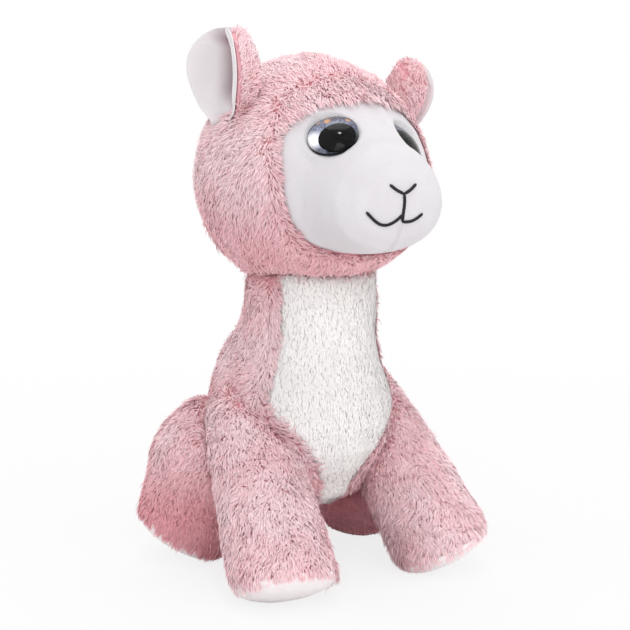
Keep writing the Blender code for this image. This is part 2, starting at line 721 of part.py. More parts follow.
def build():
    for old in list(bpy.data.objects):
        bpy.data.objects.remove(old)
    finishes = {
        "pink": material("pink_fur", (0.83, 0.52, 0.57)),
        "white": material("white_pile", (0.86, 0.85, 0.86)),
        "stuffing": material("polyester_stuffing", (0.9, 0.9, 0.88)),
        "thread": material("black_thread", (0.012, 0.011, 0.012), 0.6),
        "clear": material("clear_plastic", (0.75, 0.78, 0.8), 0.05),
        "iris": material("silver_iris", (0.45, 0.5, 0.56), 0.3),
        "black": material("black_plastic", (0.01, 0.01, 0.012), 0.1),
        "washer": material("white_plastic", (0.8, 0.8, 0.8), 0.4),
    }
    torso_inside = build_torso(finishes)
    build_head(torso_inside, finishes)
    build_legs(finishes)
    build_ears(finishes)
    stand_at_origin()


build()
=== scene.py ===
"""The plush llama dressed: stuffed skins, combed fur, white pile panels, glossy eyes and embroidery."""

import math

import bmesh
import bpy
import numpy as np
from mathutils import Matrix, Vector
from mathutils.bvhtree import BVHTree
from mathutils.kdtree import KDTree


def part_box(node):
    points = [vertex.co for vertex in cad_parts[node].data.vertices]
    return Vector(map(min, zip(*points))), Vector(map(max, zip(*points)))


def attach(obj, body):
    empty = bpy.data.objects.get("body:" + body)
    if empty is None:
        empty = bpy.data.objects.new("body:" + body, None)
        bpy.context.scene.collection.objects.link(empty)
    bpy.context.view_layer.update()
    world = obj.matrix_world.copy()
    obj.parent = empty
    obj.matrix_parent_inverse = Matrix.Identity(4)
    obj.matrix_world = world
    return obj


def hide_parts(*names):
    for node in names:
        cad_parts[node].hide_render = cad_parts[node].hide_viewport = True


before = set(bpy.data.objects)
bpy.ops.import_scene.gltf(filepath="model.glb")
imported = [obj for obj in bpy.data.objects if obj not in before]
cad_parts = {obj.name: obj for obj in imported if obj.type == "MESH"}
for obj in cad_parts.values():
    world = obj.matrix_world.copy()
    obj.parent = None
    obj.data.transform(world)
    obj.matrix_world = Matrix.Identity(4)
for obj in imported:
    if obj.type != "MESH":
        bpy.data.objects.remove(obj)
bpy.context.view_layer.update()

scene = bpy.context.scene
HANDS = {"left": 1, "right": -1}

# Stuffed forms, in metres
FORM_VOXEL = 0.0038
STUFFING_PRESSURE = 4.0
STUFFING_STEPS = 16
SEAM_PIN = 0.0032  # a form's points this near to both its cloths are held by the seam
JOIN_PIN = 0.0035  # and these by another form that it meets
FLOOR_PIN = 0.0025
EYE_PIN = 0.003
SWELL = 0.0012  # the most that the stuffing may push the cloth
SKIN_DEPTH = 0.0005  # how far the fur's backing lies under the nodes' surface
TAIL_SINK = 0.0006
PANEL_RISE = 0.0004  # and how far a white panel stands over it
PANEL_VOXELS = {"face": 0.0012, "chest": 0.0013, "sole": 0.0011, "tail": 0.0014}

# Fur: lengths and widths of a strand, and strands a square millimetre
FUR_LENGTH = 0.0050
FUR_WIDTH = 0.00058
FUR_DENSITY = 3.65
EAR_FUR_LENGTH = 0.0040
TAIL_FUR_LENGTH = 0.0048
CHEST_FUR_LENGTH = 0.0034
CHEST_FUR_WIDTH = 0.00040
CHEST_FUR_DENSITY = 5.0
TUFT = 22  # strands that draw together
LEAN_REACH = 0.0045  # how far from a bare panel the fur starts to lean over its edge
FRINGE_HEIGHT = (0.192, 0.200)  # from where the brow's fringe grows long
FLOOR_GAP = 0.0003

# The photograph's view
CAMERA_TURN = math.radians(29.0)
CAMERA_PITCH = math.radians(8.2)
CAMERA_PLACE = (-0.3394, -0.6024, 0.2100)
CAMERA_LENS = 90.0
CAMERA_SHIFT = 15 / 630

# Ears, with the leans outwards and forwards
EAR_LEANS = {"left": (0.28, 0.28), "right": (0.08, 0.16)}
EAR_TURN = math.radians(65)
EAR_HEIGHT = 0.038
EAR_WIDTH = 0.0345
EAR_CUP = 0.010
EAR_START = 0.09
EAR_FULLNESS = 1.35
EAR_PLUMP = 0.0056
LINING_THICK = 0.0013
EAR_GAP = 0.0006  # between the lining and the furred back
POCKET_DEPTH = 0.0062
# Of the lining and of the furred back: the share of the width, how far ahead the middle lies, and
# the share of the height
EAR_LAYERS = {
    "lining": {"left": (0.50, -0.0058, 0.90), "right": (0.78, 0.0010, 1.0)},
    "back": {"left": (0.50, -0.0064, 0.88), "right": (0.84, 0.0036, 0.95)},
}
EAR_BARE = 0.0013  # no fur this near to the lining,
EAR_FACINGS = {"left": 0.5, "right": 0.97}  # unless the back looks away from it more than this

# Eyes, from the plate's underside along the eye's axis
EYE_RADIUS = 0.0105
EYE_RIM = 0.0012
EYE_DENT = 0.0014  # how far the cloth takes to rise round the plate
EYE_HUG = {"left": 0.86, "right": 0.96}  # the share of the plate's radius inside the cloth's edge
EYE_DOME = 0.0044
PLATE_THICK = 0.0012
EDGE_BEVEL = 0.0003
LENS_LIFT = 0.0003
PUPIL_RADIUS = 0.0075
PUPIL_SHIFT = (0.0023, -0.0018)  # towards the nose, and up
PUPIL_THICK = 0.0005
POST_RADIUS = 0.0022
POST_LENGTH = 0.0068
WASHER_MIDDLE = 0.0038
PLATE_PRESS = 0.0004  # how far under the plate the pressed cloth lies, and the backing below it
BACKING_PRESS = 0.0024
BACKING_REACH = 0.0008
# How far each eye has settled: to the side, up and into the cloth, and its turns outwards and upwards
EYE_SETTLE = {"left": (0.0024, -0.0022, 0.0030, 7.0, 0.0), "right": (0.0016, 0.0012, 0.0007, 4.0, 10.0)}

# Embroidery, to the side and up
THREAD_RADIUS = 0.00065
NOSE_TIP = (0.0062, 0.1722)
NOSE_BASE = 0.1684
MOUTH_CENTRE = 0.1603
MOUTH_CORNERS = {"left": (0.0098, 0.1602), "right": (0.0155, 0.1616)}
MOUTH_SAGS = {"left": 0.0012, "right": 0.0048}
MOUTH_STEP = 0.0030

# Light and floor
WORLD_LIGHT = 0.74
FLOOR_SHADE = 0.80  # how white the floor shows by the toy. Further out it is all white
LAMPS = (  # name, place, aim, size and power
    ("key", (-0.60, -1.10, 1.05), (0, 0, 0.12), 0.8, 3.5),
    ("spark", (-0.15, -0.30, 1.68), (0, 0, 0.19), 0.14, 2.6),
    ("fill", (0.35, -1.25, 0.28), (0, 0, 0.08), 0.9, 4.2),
    ("top", (0.15, 0.35, 1.40), (0, 0, 0.12), 0.9, 3.4),
    ("window", (-1.0, 0.75, 0.55), (0, 0, 0.17), 0.35, 1.1),
)


# Shared tools for meshes

def node_copy(names):
    """One bmesh of these nodes, with their loose triangles merged."""
    bm = bmesh.new()
    for name in names:
        bm.from_mesh(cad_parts[name].data)
    bmesh.ops.remove_doubles(bm, verts=bm.verts, dist=0.00002)
    return bm


def tree_of(names):
    """A search tree of these nodes."""
    bm = node_copy(names)
    tree = BVHTree.FromBMesh(bm)
    bm.free()
    return tree


def added(name, source, finish=None, smooth=True):
    """An object at the origin from a bmesh or a mesh."""
    if isinstance(source, bmesh.types.BMesh):
        mesh = bpy.data.meshes.new(name)
        source.to_mesh(mesh)
        source.free()
    else:
        mesh = source
        mesh.name = name
    made = bpy.data.objects.new(name, mesh)
    scene.collection.objects.link(made)
    if smooth:
        mesh.shade_smooth()
    if finish:
        mesh.materials.clear()
        mesh.materials.append(finish)
    return made


def applied(piece):
    """The piece with its modifiers applied."""
    graph = bpy.context.evaluated_depsgraph_get()
    mesh = bpy.data.meshes.new_from_object(piece.evaluated_get(graph))
    old = piece.data
    piece.modifiers.clear()
    piece.data = mesh
    bpy.data.meshes.remove(old)
    return piece


def remeshed(piece, voxel):
    """The piece as one closed skin of even faces."""
    modifier = piece.modifiers.new("even", "REMESH")
    modifier.mode = "VOXEL"
    modifier.voxel_size = voxel
    modifier.use_smooth_shade = True
    return applied(piece)


def subdivided(piece):
    """The piece with each face cut in four and smoothed."""
    modifier = piece.modifiers.new("smooth", "SUBSURF")
    modifier.levels = 1
    modifier.render_levels = 1
    return applied(piece)


def points_of(mesh):
    values = np.empty(len(mesh.vertices) * 3, np.float32)
    mesh.vertices.foreach_get("co", values)
    return values.reshape(-1, 3).astype(float)


def normals_of(mesh):
    values = np.empty(len(mesh.vertices) * 3, np.float32)
    mesh.vertices.foreach_get("normal", values)
    return values.reshape(-1, 3).astype(float)


def set_points(mesh, points):
    mesh.vertices.foreach_set("co", points.astype(np.float32).ravel())
    mesh.update()


def unit(vectors):
    return vectors / np.maximum(np.linalg.norm(vectors, axis=1, keepdims=True), 1e-9)


def ramp(values, low, high):
    """0 below low, 1 above high, smooth between."""
    share = np.clip((values - low) / (high - low), 0, 1)
    return share * share * (3 - 2 * share)


def waves(points, scale, seed, count=7):
    """A smooth random value at each point, about -1 to 1, with features of this size in metres."""
    rng = np.random.default_rng(seed)
    total = np.zeros(len(points))
    for _ in range(count):
        way = unit(rng.normal(size=(1, 3)))[0] * math.tau / (scale * rng.uniform(0.7, 1.6))
        total += np.sin(points @ way + rng.uniform(0, math.tau))
    return total / math.sqrt(count / 2) * 0.6


def eased(points, mesh, steps):
    """The points after some steps of smoothing along the mesh's edges."""
    edges = np.empty(len(mesh.edges) * 2, np.int32)
    mesh.edges.foreach_get("vertices", edges)
    edges = edges.reshape(-1, 2)
    degree = np.bincount(edges.ravel(), minlength=len(points)).astype(float)[:, None]
    for _ in range(steps):
        total = np.zeros_like(points)
        np.add.at(total, edges[:, 0], points[edges[:, 1]])
        np.add.at(total, edges[:, 1], points[edges[:, 0]])
        points = 0.5 * points + 0.5 * total / np.maximum(degree, 1)
    return points


# Stuffed forms

FORMS = {
    "head": ["head_cover", "face_panel", "head_stuffing"],
    "torso": ["torso_cover", "chest_panel", "torso_stuffing"],
}
for SIDE in HANDS:
    for PAIR in ("front", "hind"):
        FORMS[f"{PAIR}_leg_{SIDE}"] = [
            f"{PAIR}_leg_{SIDE}",
            f"{PAIR}_sole_{SIDE}",
            f"{PAIR}_leg_stuffing_{SIDE}",
        ]


def pin_seams(piece, name):
    """A pin for each point by a seam, an eye or another piece, which the stuffing can't push out."""
    cover, panel = FORMS[name][:2]
    others = [other for key in FORMS if key != name for other in FORMS[key][:2]]
    trees = (tree_of([cover]), tree_of([panel]), tree_of(others))
    eyes = tree_of(["eye_lens_left", "eye_lens_right"])
    pins = np.zeros(len(piece.data.vertices))
    for i, vert in enumerate(piece.data.vertices):
        to_cover, to_panel, to_others = (tree.find_nearest(vert.co)[3] for tree in trees)
        if max(to_cover, to_panel) < SEAM_PIN or to_others < JOIN_PIN or vert.co.z < FLOOR_PIN:
            pins[i] = 1.0
        elif name == "head" and eyes.find_nearest(vert.co)[3] < EYE_PIN:
            pins[i] = 1.0
    group = piece.vertex_groups.new(name="seams")
    for i in np.nonzero(pins)[0]:
        group.add([int(i)], 1.0, "REPLACE")


def stuffed_forms():
    """Each stuffed form as one closed skin, pressed out by its filling, and how its points were moved."""
    forms = {}
    for name, nodes in FORMS.items():
        piece = remeshed(added(f"{name}_form", node_copy(nodes)), FORM_VOXEL)
        set_points(piece.data, eased(points_of(piece.data), piece.data, 2))
        forms[name] = piece
    rest = {name: points_of(piece.data) for name, piece in forms.items()}
    for name, piece in forms.items():
        pin_seams(piece, name)
        cloth = piece.modifiers.new("filling", "CLOTH")
        settings = cloth.settings
        settings.quality = 5
        settings.use_pressure = True
        settings.uniform_pressure_force = STUFFING_PRESSURE
        settings.vertex_group_mass = "seams"
        settings.effector_weights.gravity = 0.0
        cloth.point_cache.frame_start = 1
        cloth.point_cache.frame_end = STUFFING_STEPS
    for step in range(1, STUFFING_STEPS + 1):
        scene.frame_set(step)
    for piece in forms.values():
        applied(piece)
    scene.frame_set(1)
    moves = {}
    for name, piece in forms.items():
        move = points_of(piece.data) - rest[name]
        size = np.linalg.norm(move, axis=1, keepdims=True)
        move *= np.minimum(1.0, SWELL / np.maximum(size, 1e-9))
        move = eased(move, piece.data, 2)
        set_points(piece.data, rest[name] + move)
        moves[name] = (rest[name], move)
        subdivided(piece)
    return forms, moves


def swell(piece, form_name):
    """Moves the piece's points as its form's skin was moved."""
    rest, move = moves[form_name]
    if not np.abs(move).max():
        return
    tree = KDTree(len(rest))
    for i, point in enumerate(rest):
        tree.insert(point, i)
    tree.balance()
    points = points_of(piece.data)
    for i, point in enumerate(points):
        near = tree.find_n(point, 4)
        weights = [1 / (distance + 0.0004) for _, _, distance in near]
        total = sum(move[index] * weight for (_, index, _), weight in zip(near, weights))
        points[i] = point + total / sum(weights)
    set_points(piece.data, points)


def sink(piece, depth):
    """Moves a closed skin inwards."""
    mesh = piece.data
    set_points(mesh, points_of(mesh) - normals_of(mesh) * depth)


# Finishes

def principled(name, roughness, **values):
    """A material, its node tree and its shader, with these values on the shader's own sockets."""
    made = bpy.data.materials.new(name)
    made.use_nodes = True
    shader = made.node_tree.nodes["Principled BSDF"]
    shader.inputs["Roughness"].default_value = roughness
    for key, value in values.items():
        shader.inputs[key.replace("_", " ")].default_value = value
    return made, made.node_tree, shader


def rgb(red, green, blue):
    """A colour written as on a screen, made linear."""
    values = [c / 255 for c in (red, green, blue)]
    return tuple(c / 12.92 if c <= 0.04045 else ((c + 0.055) / 1.055) ** 2.4 for c in values) + (1.0,)


def node(tree, kind, **values):
    """A new shader node with these settings."""
    made = tree.nodes.new(kind)
    for key, value in values.items():
        setattr(made, key, value)
    return made


def noise_of(tree, coordinates, scale, detail=2.0, roughness=0.5):
    """A noise texture read at these coordinates."""
    made = node(tree, "ShaderNodeTexNoise")
    made.inputs["Scale"].default_value = scale
    made.inputs["Detail"].default_value = detail
    made.inputs["Roughness"].default_value = roughness
    tree.links.new(coordinates, made.inputs["Vector"])
    return made


def spread(tree, value, low, high, start=0.0, end=1.0):
    """The value's stretch from low to high laid over start to end."""
    made = node(tree, "ShaderNodeMapRange")
    made.inputs["From Min"].default_value = low
    made.inputs["From Max"].default_value = high
    made.inputs["To Min"].default_value = start
    made.inputs["To Max"].default_value = end
    tree.links.new(value, made.inputs["Value"])
    return made.outputs["Result"]


def blended(tree, share, first, second):
    """A colour mix. Each of first and second is a colour or a socket."""
    made = node(tree, "ShaderNodeMix", data_type="RGBA")
    for socket, value in ((made.inputs[0], share), (made.inputs[6], first), (made.inputs[7], second)):
        if isinstance(value, bpy.types.NodeSocket):
            tree.links.new(value, socket)
        else:
            socket.default_value = value
    return made.outputs[2]


def fur_colour_group():
    """The colour of a hair from its root to its tip, by strand and in broad patches, with painted shade at
    the root and a painted highlight at the tip.
    """
    group = bpy.data.node_groups.new("hair colour", "ShaderNodeTree")
    for name, kind in (
        ("Place", "NodeSocketVector"),
        ("Along", "NodeSocketFloat"),
        ("Strand", "NodeSocketFloat"),
        ("Shade", "NodeSocketFloat"),
        ("Root", "NodeSocketColor"),
        ("Deep", "NodeSocketColor"),
        ("Pale", "NodeSocketColor"),
        ("Tip", "NodeSocketColor"),
        ("Painted Shade", "NodeSocketColor"),
    ):
        group.interface.new_socket(name, in_out="INPUT", socket_type=kind)
    group.interface.new_socket("Color", in_out="OUTPUT", socket_type="NodeSocketColor")
    start = node(group, "NodeGroupInput")
    end = node(group, "NodeGroupOutput")
    broad = noise_of(group, start.outputs["Place"], 34.0, 3.0, 0.55)
    patches = spread(group, broad.outputs["Fac"], 0.36, 0.64)
    body = blended(group, patches, start.outputs["Deep"], start.outputs["Pale"])
    per_strand = spread(group, start.outputs["Strand"], 0.0, 1.0, 0.0, 0.45)
    body = blended(group, per_strand, body, start.outputs["Pale"])
    # darker towards the root: painted shade between the strands
    low = spread(group, start.outputs["Along"], 0.0, 0.45)
    colour = blended(group, low, start.outputs["Root"], body)
    # paler at the tip of some strands: a painted highlight
    high = spread(group, start.outputs["Along"], 0.55, 1.0)
    highlit = spread(group, start.outputs["Strand"], 0.35, 1.0)
    both = node(group, "ShaderNodeMath", operation="MULTIPLY")
    group.links.new(high, both.inputs[0])
    group.links.new(highlit, both.inputs[1])
    colour = blended(group, both.outputs[0], colour, start.outputs["Tip"])
    # Painted shade: towards the shade colour as far as the strand's stored shade goes
    colour = blended(group, start.outputs["Shade"], colour, start.outputs["Painted Shade"])
    group.links.new(colour, end.inputs["Color"])
    return group


def pile_group():
    """A short dense pile: fine lumps for bump, and a slow change of shade."""
    group = bpy.data.node_groups.new("short pile", "ShaderNodeTree")
    for name, kind in (
        ("Place", "NodeSocketVector"),
        ("Light", "NodeSocketColor"),
        ("Dark", "NodeSocketColor"),
        ("Fineness", "NodeSocketFloat"),
        ("Depth", "NodeSocketFloat"),
    ):
        group.interface.new_socket(name, in_out="INPUT", socket_type=kind)
    group.interface.new_socket("Color", in_out="OUTPUT", socket_type="NodeSocketColor")
    group.interface.new_socket("Normal", in_out="OUTPUT", socket_type="NodeSocketVector")
    start = node(group, "NodeGroupInput")
    end = node(group, "NodeGroupOutput")
    fine = noise_of(group, start.outputs["Place"], 1500.0, 3.0, 0.7)
    group.links.new(start.outputs["Fineness"], fine.inputs["Scale"])
    slow = noise_of(group, start.outputs["Place"], 60.0, 4.0, 0.6)
    total = node(group, "ShaderNodeMath", operation="MULTIPLY_ADD")
    total.inputs[1].default_value = 0.35
    group.links.new(slow.outputs["Fac"], total.inputs[0])
    group.links.new(fine.outputs["Fac"], total.inputs[2])
    bump = node(group, "ShaderNodeBump")
    bump.inputs["Strength"].default_value = 0.45
    group.links.new(start.outputs["Depth"], bump.inputs["Distance"])
    group.links.new(total.outputs[0], bump.inputs["Height"])
    mix = node(group, "ShaderNodeMath", operation="MULTIPLY_ADD")
    mix.inputs[1].default_value = 0.5
    group.links.new(fine.outputs["Fac"], mix.inputs[0])
    half = node(group, "ShaderNodeMath", operation="MULTIPLY")
    half.inputs[1].default_value = 0.5
    group.links.new(slow.outputs["Fac"], half.inputs[0])
    group.links.new(half.outputs[0], mix.inputs[2])
    shade = spread(group, mix.outputs[0], 0.38, 0.62)
    group.links.new(blended(group, shade, start.outputs["Dark"], start.outputs["Light"]), end.inputs["Color"])
    group.links.new(bump.outputs["Normal"], end.inputs["Normal"])
    return group


def fur_material(name, group, root, deep, pale, tip, shaded, **values):
    """Soft fibre with a sheen, coloured by the strand's own stored values, its painted shade among them."""
    made, tree, shader = principled(
        name, 0.62, Specular_IOR_Level=0.25, Sheen_Weight=0.45, Sheen_Roughness=0.4,
        Sheen_Tint=(1.0, 0.93, 0.94, 1.0), **values,
    )
    place = node(tree, "ShaderNodeTexCoord")
    colour = node(tree, "ShaderNodeGroup", node_tree=group)
    tree.links.new(place.outputs["Object"], colour.inputs["Place"])
    for attribute, socket in (("along", "Along"), ("strand", "Strand"), ("shade", "Shade")):
        read = node(tree, "ShaderNodeAttribute", attribute_name=attribute)
        tree.links.new(read.outputs["Fac"], colour.inputs[socket])
    for socket, value in (("Root", root), ("Deep", deep), ("Pale", pale), ("Tip", tip), ("Painted Shade", shaded)):
        colour.inputs[socket].default_value = value
    tree.links.new(colour.outputs["Color"], shader.inputs["Base Color"])
    return made


def pile_material(name, group, light, dark, fineness, depth, **values):
    """Short brushed cloth between two shades, with lumps of this depth in metres."""
    made, tree, shader = principled(name, 0.85, Specular_IOR_Level=0.2, Sheen_Weight=0.25, **values)
    place = node(tree, "ShaderNodeTexCoord")
    pile = node(tree, "ShaderNodeGroup", node_tree=group)
    tree.links.new(place.outputs["Object"], pile.inputs["Place"])
    pile.inputs["Light"].default_value = light
    pile.inputs["Dark"].default_value = dark
    pile.inputs["Fineness"].default_value = fineness
    pile.inputs["Depth"].default_value = depth
    tree.links.new(pile.outputs["Color"], shader.inputs["Base Color"])
    tree.links.new(pile.outputs["Normal"], shader.inputs["Normal"])
    return made


def spot(tree, place, centre, inner, outer):
    """A round soft mask about a point: 1 within inner, 0 past outer."""
    far = node(tree, "ShaderNodeVectorMath", operation="DISTANCE")
    tree.links.new(place, far.inputs[0])
    far.inputs[1].default_value = centre
    return spread(tree, far.outputs["Value"], inner, outer, 1.0, 0.0)


def creased(made):
    """The muzzle's seam, a shallow groove below the mouth."""
    tree = made.node_tree
    shader = tree.nodes["Principled BSDF"]
    place = node(tree, "ShaderNodeTexCoord")
    parts = node(tree, "ShaderNodeSeparateXYZ")
    tree.links.new(place.outputs["Object"], parts.inputs[0])
    wide = node(tree, "ShaderNodeMath", operation="ABSOLUTE")
    tree.links.new(parts.outputs["X"], wide.inputs[0])
    groove = spread(tree, wide.outputs[0], 0.0, 0.0011, 1.0, 0.0)
    below = spread(tree, parts.outputs["Z"], 0.1555, 0.1580, 1.0, 0.0)
    both = node(tree, "ShaderNodeMath", operation="MULTIPLY")
    tree.links.new(groove, both.inputs[0])
    tree.links.new(below, both.inputs[1])
    bump = node(tree, "ShaderNodeBump", invert=True)
    bump.inputs["Strength"].default_value = 0.8
    bump.inputs["Distance"].default_value = 0.0006
    tree.links.new(both.outputs[0], bump.inputs["Height"])
    old = shader.inputs["Normal"].links[0].from_socket
    tree.links.new(old, bump.inputs["Normal"])
    tree.links.new(bump.outputs["Normal"], shader.inputs["Normal"])
    return made


def with_painted_pocket_shade(made):
    """The ear's lining, with painted shade in the pocket by its fold."""
    tree = made.node_tree
    shader = tree.nodes["Principled BSDF"]
    deep = node(tree, "ShaderNodeAttribute", attribute_name="pocket").outputs["Fac"]
    plain = shader.inputs["Base Color"].links[0].from_socket
    tree.links.new(blended(tree, deep, plain, rgb(162, 138, 144)), shader.inputs["Base Color"])
    return made


def iris_material():
    """Glitter film: blue grey with a dark edge, a painted highlight in silver at its lower left and warm
    glints at its top.
    """
    made, tree, shader = principled("glitter film", 0.3, Metallic=0.55)
    disc = node(tree, "ShaderNodeAttribute", attribute_name="disc").outputs["Vector"]
    grain = node(tree, "ShaderNodeTexVoronoi")
    grain.inputs["Scale"].default_value = 26.0
    tree.links.new(disc, grain.inputs["Vector"])
    streaks = node(tree, "ShaderNodeVectorMath", operation="NORMALIZE")
    tree.links.new(disc, streaks.inputs[0])
    rays = noise_of(tree, streaks.outputs[0], 9.0, 3.0, 0.7)
    base = blended(tree, spread(tree, rays.outputs["Fac"], 0.35, 0.65), rgb(60, 64, 88), rgb(128, 136, 166))
    # Painted highlight: the light that the dome gathers on the plate's lower left
    base = blended(tree, spot(tree, disc, (-0.78, -0.30, 0.1), 0.22, 0.60), base, rgb(246, 247, 250))
    base = blended(tree, spot(tree, disc, (-0.10, 0.92, 0.1), 0.10, 0.45), base, rgb(96, 88, 100))
    for centre, size in (((-0.32, 0.70, 0.1), 0.17), ((0.46, 0.80, 0.1), 0.15), ((-0.68, 0.66, 0.1), 0.12)):
        base = blended(tree, spot(tree, disc, centre, size * 0.3, size), base, rgb(250, 178, 108))
    sparkle = spread(tree, grain.outputs["Color"], 0.45, 1.0, 0.0, 0.4)
    base = blended(tree, sparkle, base, rgb(235, 238, 248))
    far = node(tree, "ShaderNodeVectorMath", operation="LENGTH")
    tree.links.new(disc, far.inputs[0])
    base = blended(tree, spread(tree, far.outputs["Value"], 0.93, 0.99), base, rgb(22, 22, 28))
    tree.links.new(base, shader.inputs["Base Color"])
    return made


def worn_material(name, roughness, colour, other, scale, depth, **values):
    """A plain hard or thread surface with fine unevenness in colour, gloss and relief."""
    made, tree, shader = principled(name, roughness, **values)
    place = node(tree, "ShaderNodeTexCoord")
    fine = noise_of(tree, place.outputs["Object"], scale, 4.0, 0.6)
    share = spread(tree, fine.outputs["Fac"], 0.35, 0.65)
    tree.links.new(blended(tree, share, colour, other), shader.inputs["Base Color"])
    gloss = spread(tree, share, 0.0, 1.0, roughness * 0.8, roughness * 1.3)
    tree.links.new(gloss, shader.inputs["Roughness"])
    if depth:
        bump = node(tree, "ShaderNodeBump")
        bump.inputs["Distance"].default_value = depth
        tree.links.new(fine.outputs["Fac"], bump.inputs["Height"])
        tree.links.new(bump.outputs["Normal"], shader.inputs["Normal"])
    return made


def finishes():
    """Every material by what it dresses."""
    hair = fur_colour_group()
    pile = pile_group()
    white = (rgb(224, 221, 224), rgb(216, 212, 216), 1600.0, 0.00022)
    pale = (rgb(240, 236, 238), rgb(233, 228, 231), 1500.0, 0.00024)
    sole = (rgb(253, 247, 247), rgb(247, 239, 240), 1500.0, 0.00024)
    under_white = (rgb(250, 246, 244), rgb(244, 239, 237), 900.0, 0.0004)
    return {
        "pink": fur_material(
            "pink fur", hair, rgb(244, 178, 188), rgb(249, 202, 208), rgb(253, 225, 229), rgb(255, 246, 246),
            # the painted shade's colour
            rgb(232, 148, 160),
        ),
        "chest": fur_material(
            "white fur", hair, rgb(251, 247, 245), rgb(253, 250, 248), rgb(254, 252, 251), rgb(255, 255, 254),
            # the painted shade's colour
            rgb(246, 240, 239),
        ),
        "backing": pile_material("pink backing", pile, rgb(244, 188, 196), rgb(238, 174, 184), 900.0, 0.0006),
        "white": pile_material("white pile", pile, *sole),
        "ear": with_painted_pocket_shade(pile_material("ear pile", pile, *pale)),
        "face": creased(pile_material("face pile", pile, *white)),
        "chest backing": pile_material("white backing", pile, *under_white),
        "thread": worn_material(
            "black thread", 0.6, rgb(20, 18, 22), rgb(48, 44, 50), 2600.0, 0.0001, Specular_IOR_Level=0.3
        ),
        "iris": iris_material(),
        "pupil": worn_material(
            "black gloss", 0.5, rgb(3, 3, 4), rgb(7, 7, 9), 300.0, 0, Specular_IOR_Level=0.0
        ),
        "lens": worn_material(
            "clear dome", 0.015, rgb(253, 254, 255), rgb(249, 251, 253), 180.0, 0,
            Transmission_Weight=1.0, IOR=1.26, Specular_IOR_Level=0.5,
        ),
        "washer": worn_material("pale plastic", 0.5, rgb(226, 226, 226), rgb(214, 214, 216), 420.0, 0.00004),
    }


# Fur

def strand_shape():
    """A slim leaf, widest at its middle: its points across and along, and its two faces."""
    bm = bmesh.new()
    bmesh.ops.create_circle(bm, cap_ends=True, segments=4, radius=0.5)
    bmesh.ops.translate(bm, verts=bm.verts, vec=(0, 0.5, 0))
    bmesh.ops.connect_verts(bm, verts=[vert for vert in bm.verts if 0.1 < vert.co.y < 0.9])
    bm.verts.index_update()
    points = np.array([vert.co[:2] for vert in bm.verts])
    faces = np.array([[vert.index for vert in face.verts] for face in bm.faces])
    bm.free()
    return points, faces


def scattered(mesh, count, rng):
    """Points and normals spread evenly over the mesh, and its area."""
    mesh.calc_loop_triangles()
    corners = np.empty(len(mesh.loop_triangles) * 3, np.int32)
    mesh.loop_triangles.foreach_get("vertices", corners)
    corners = corners.reshape(-1, 3)
    points = points_of(mesh)
    normals = normals_of(mesh)
    a, b, c = (points[corners[:, i]] for i in range(3))
    area = np.linalg.norm(np.cross(b - a, c - a), axis=1)
    picked = np.searchsorted(np.cumsum(area) / area.sum(), rng.random(count))
    u = rng.random(count)
    v = rng.random(count)
    over = u + v > 1
    u[over] = 1 - u[over]
    v[over] = 1 - v[over]
    weights = np.stack([1 - u - v, u, v], axis=1)[:, :, None]
    chosen = corners[picked]
    return (points[chosen] * weights).sum(1), unit((normals[chosen] * weights).sum(1)), area.sum() / 2


def grown(points, normals, bare, others):
    """Which roots are on cloth that grows fur, and how each leans over the edge of a bare panel near it."""
    keep = np.ones(len(points), bool)
    lean = np.zeros_like(points)
    for i, (point, normal) in enumerate(zip(points, normals)):
        co = Vector(point)
        way = Vector(normal)
        if bare and bare.ray_cast(co - way * 0.0008, way, 0.005)[0] is not None:
            keep[i] = False
            continue
        if others:
            near, facing = others.find_nearest(co, 0.02)[:2]
            if near is not None and (co - near).dot(facing) < -0.0006:
                hit, facing = others.ray_cast(co + way * 0.0004, way, 0.06)[:2]
                if hit is not None and facing.dot(way) > 0:
                    keep[i] = False
                    continue
        if bare:
            near, _, _, distance = bare.find_nearest(co, LEAN_REACH)
            if near is not None:
                lean[i] = (near - co).normalized() * (1 - distance / LEAN_REACH)
    return keep, lean


def shade_at(points):
    """How much painted shade the fur takes, 0 to 1: under the chin, low on the body and the haunches, and
    between the legs.
    """
    x, y, z = points.T
    chin = (1 - ramp(z, 0.138, 0.178)) * ramp(z, 0.114, 0.134)
    low = (1 - ramp(z, 0.022, 0.062)) * ramp(y, -0.030, 0.004) * ramp(np.abs(x), 0.0, 0.02)
    middle = (1 - ramp(np.abs(x), 0.010, 0.034)) * (1 - ramp(z, 0.030, 0.060))
    return np.clip(0.40 * chin + 0.75 * low + 0.2 * middle, 0, 1)


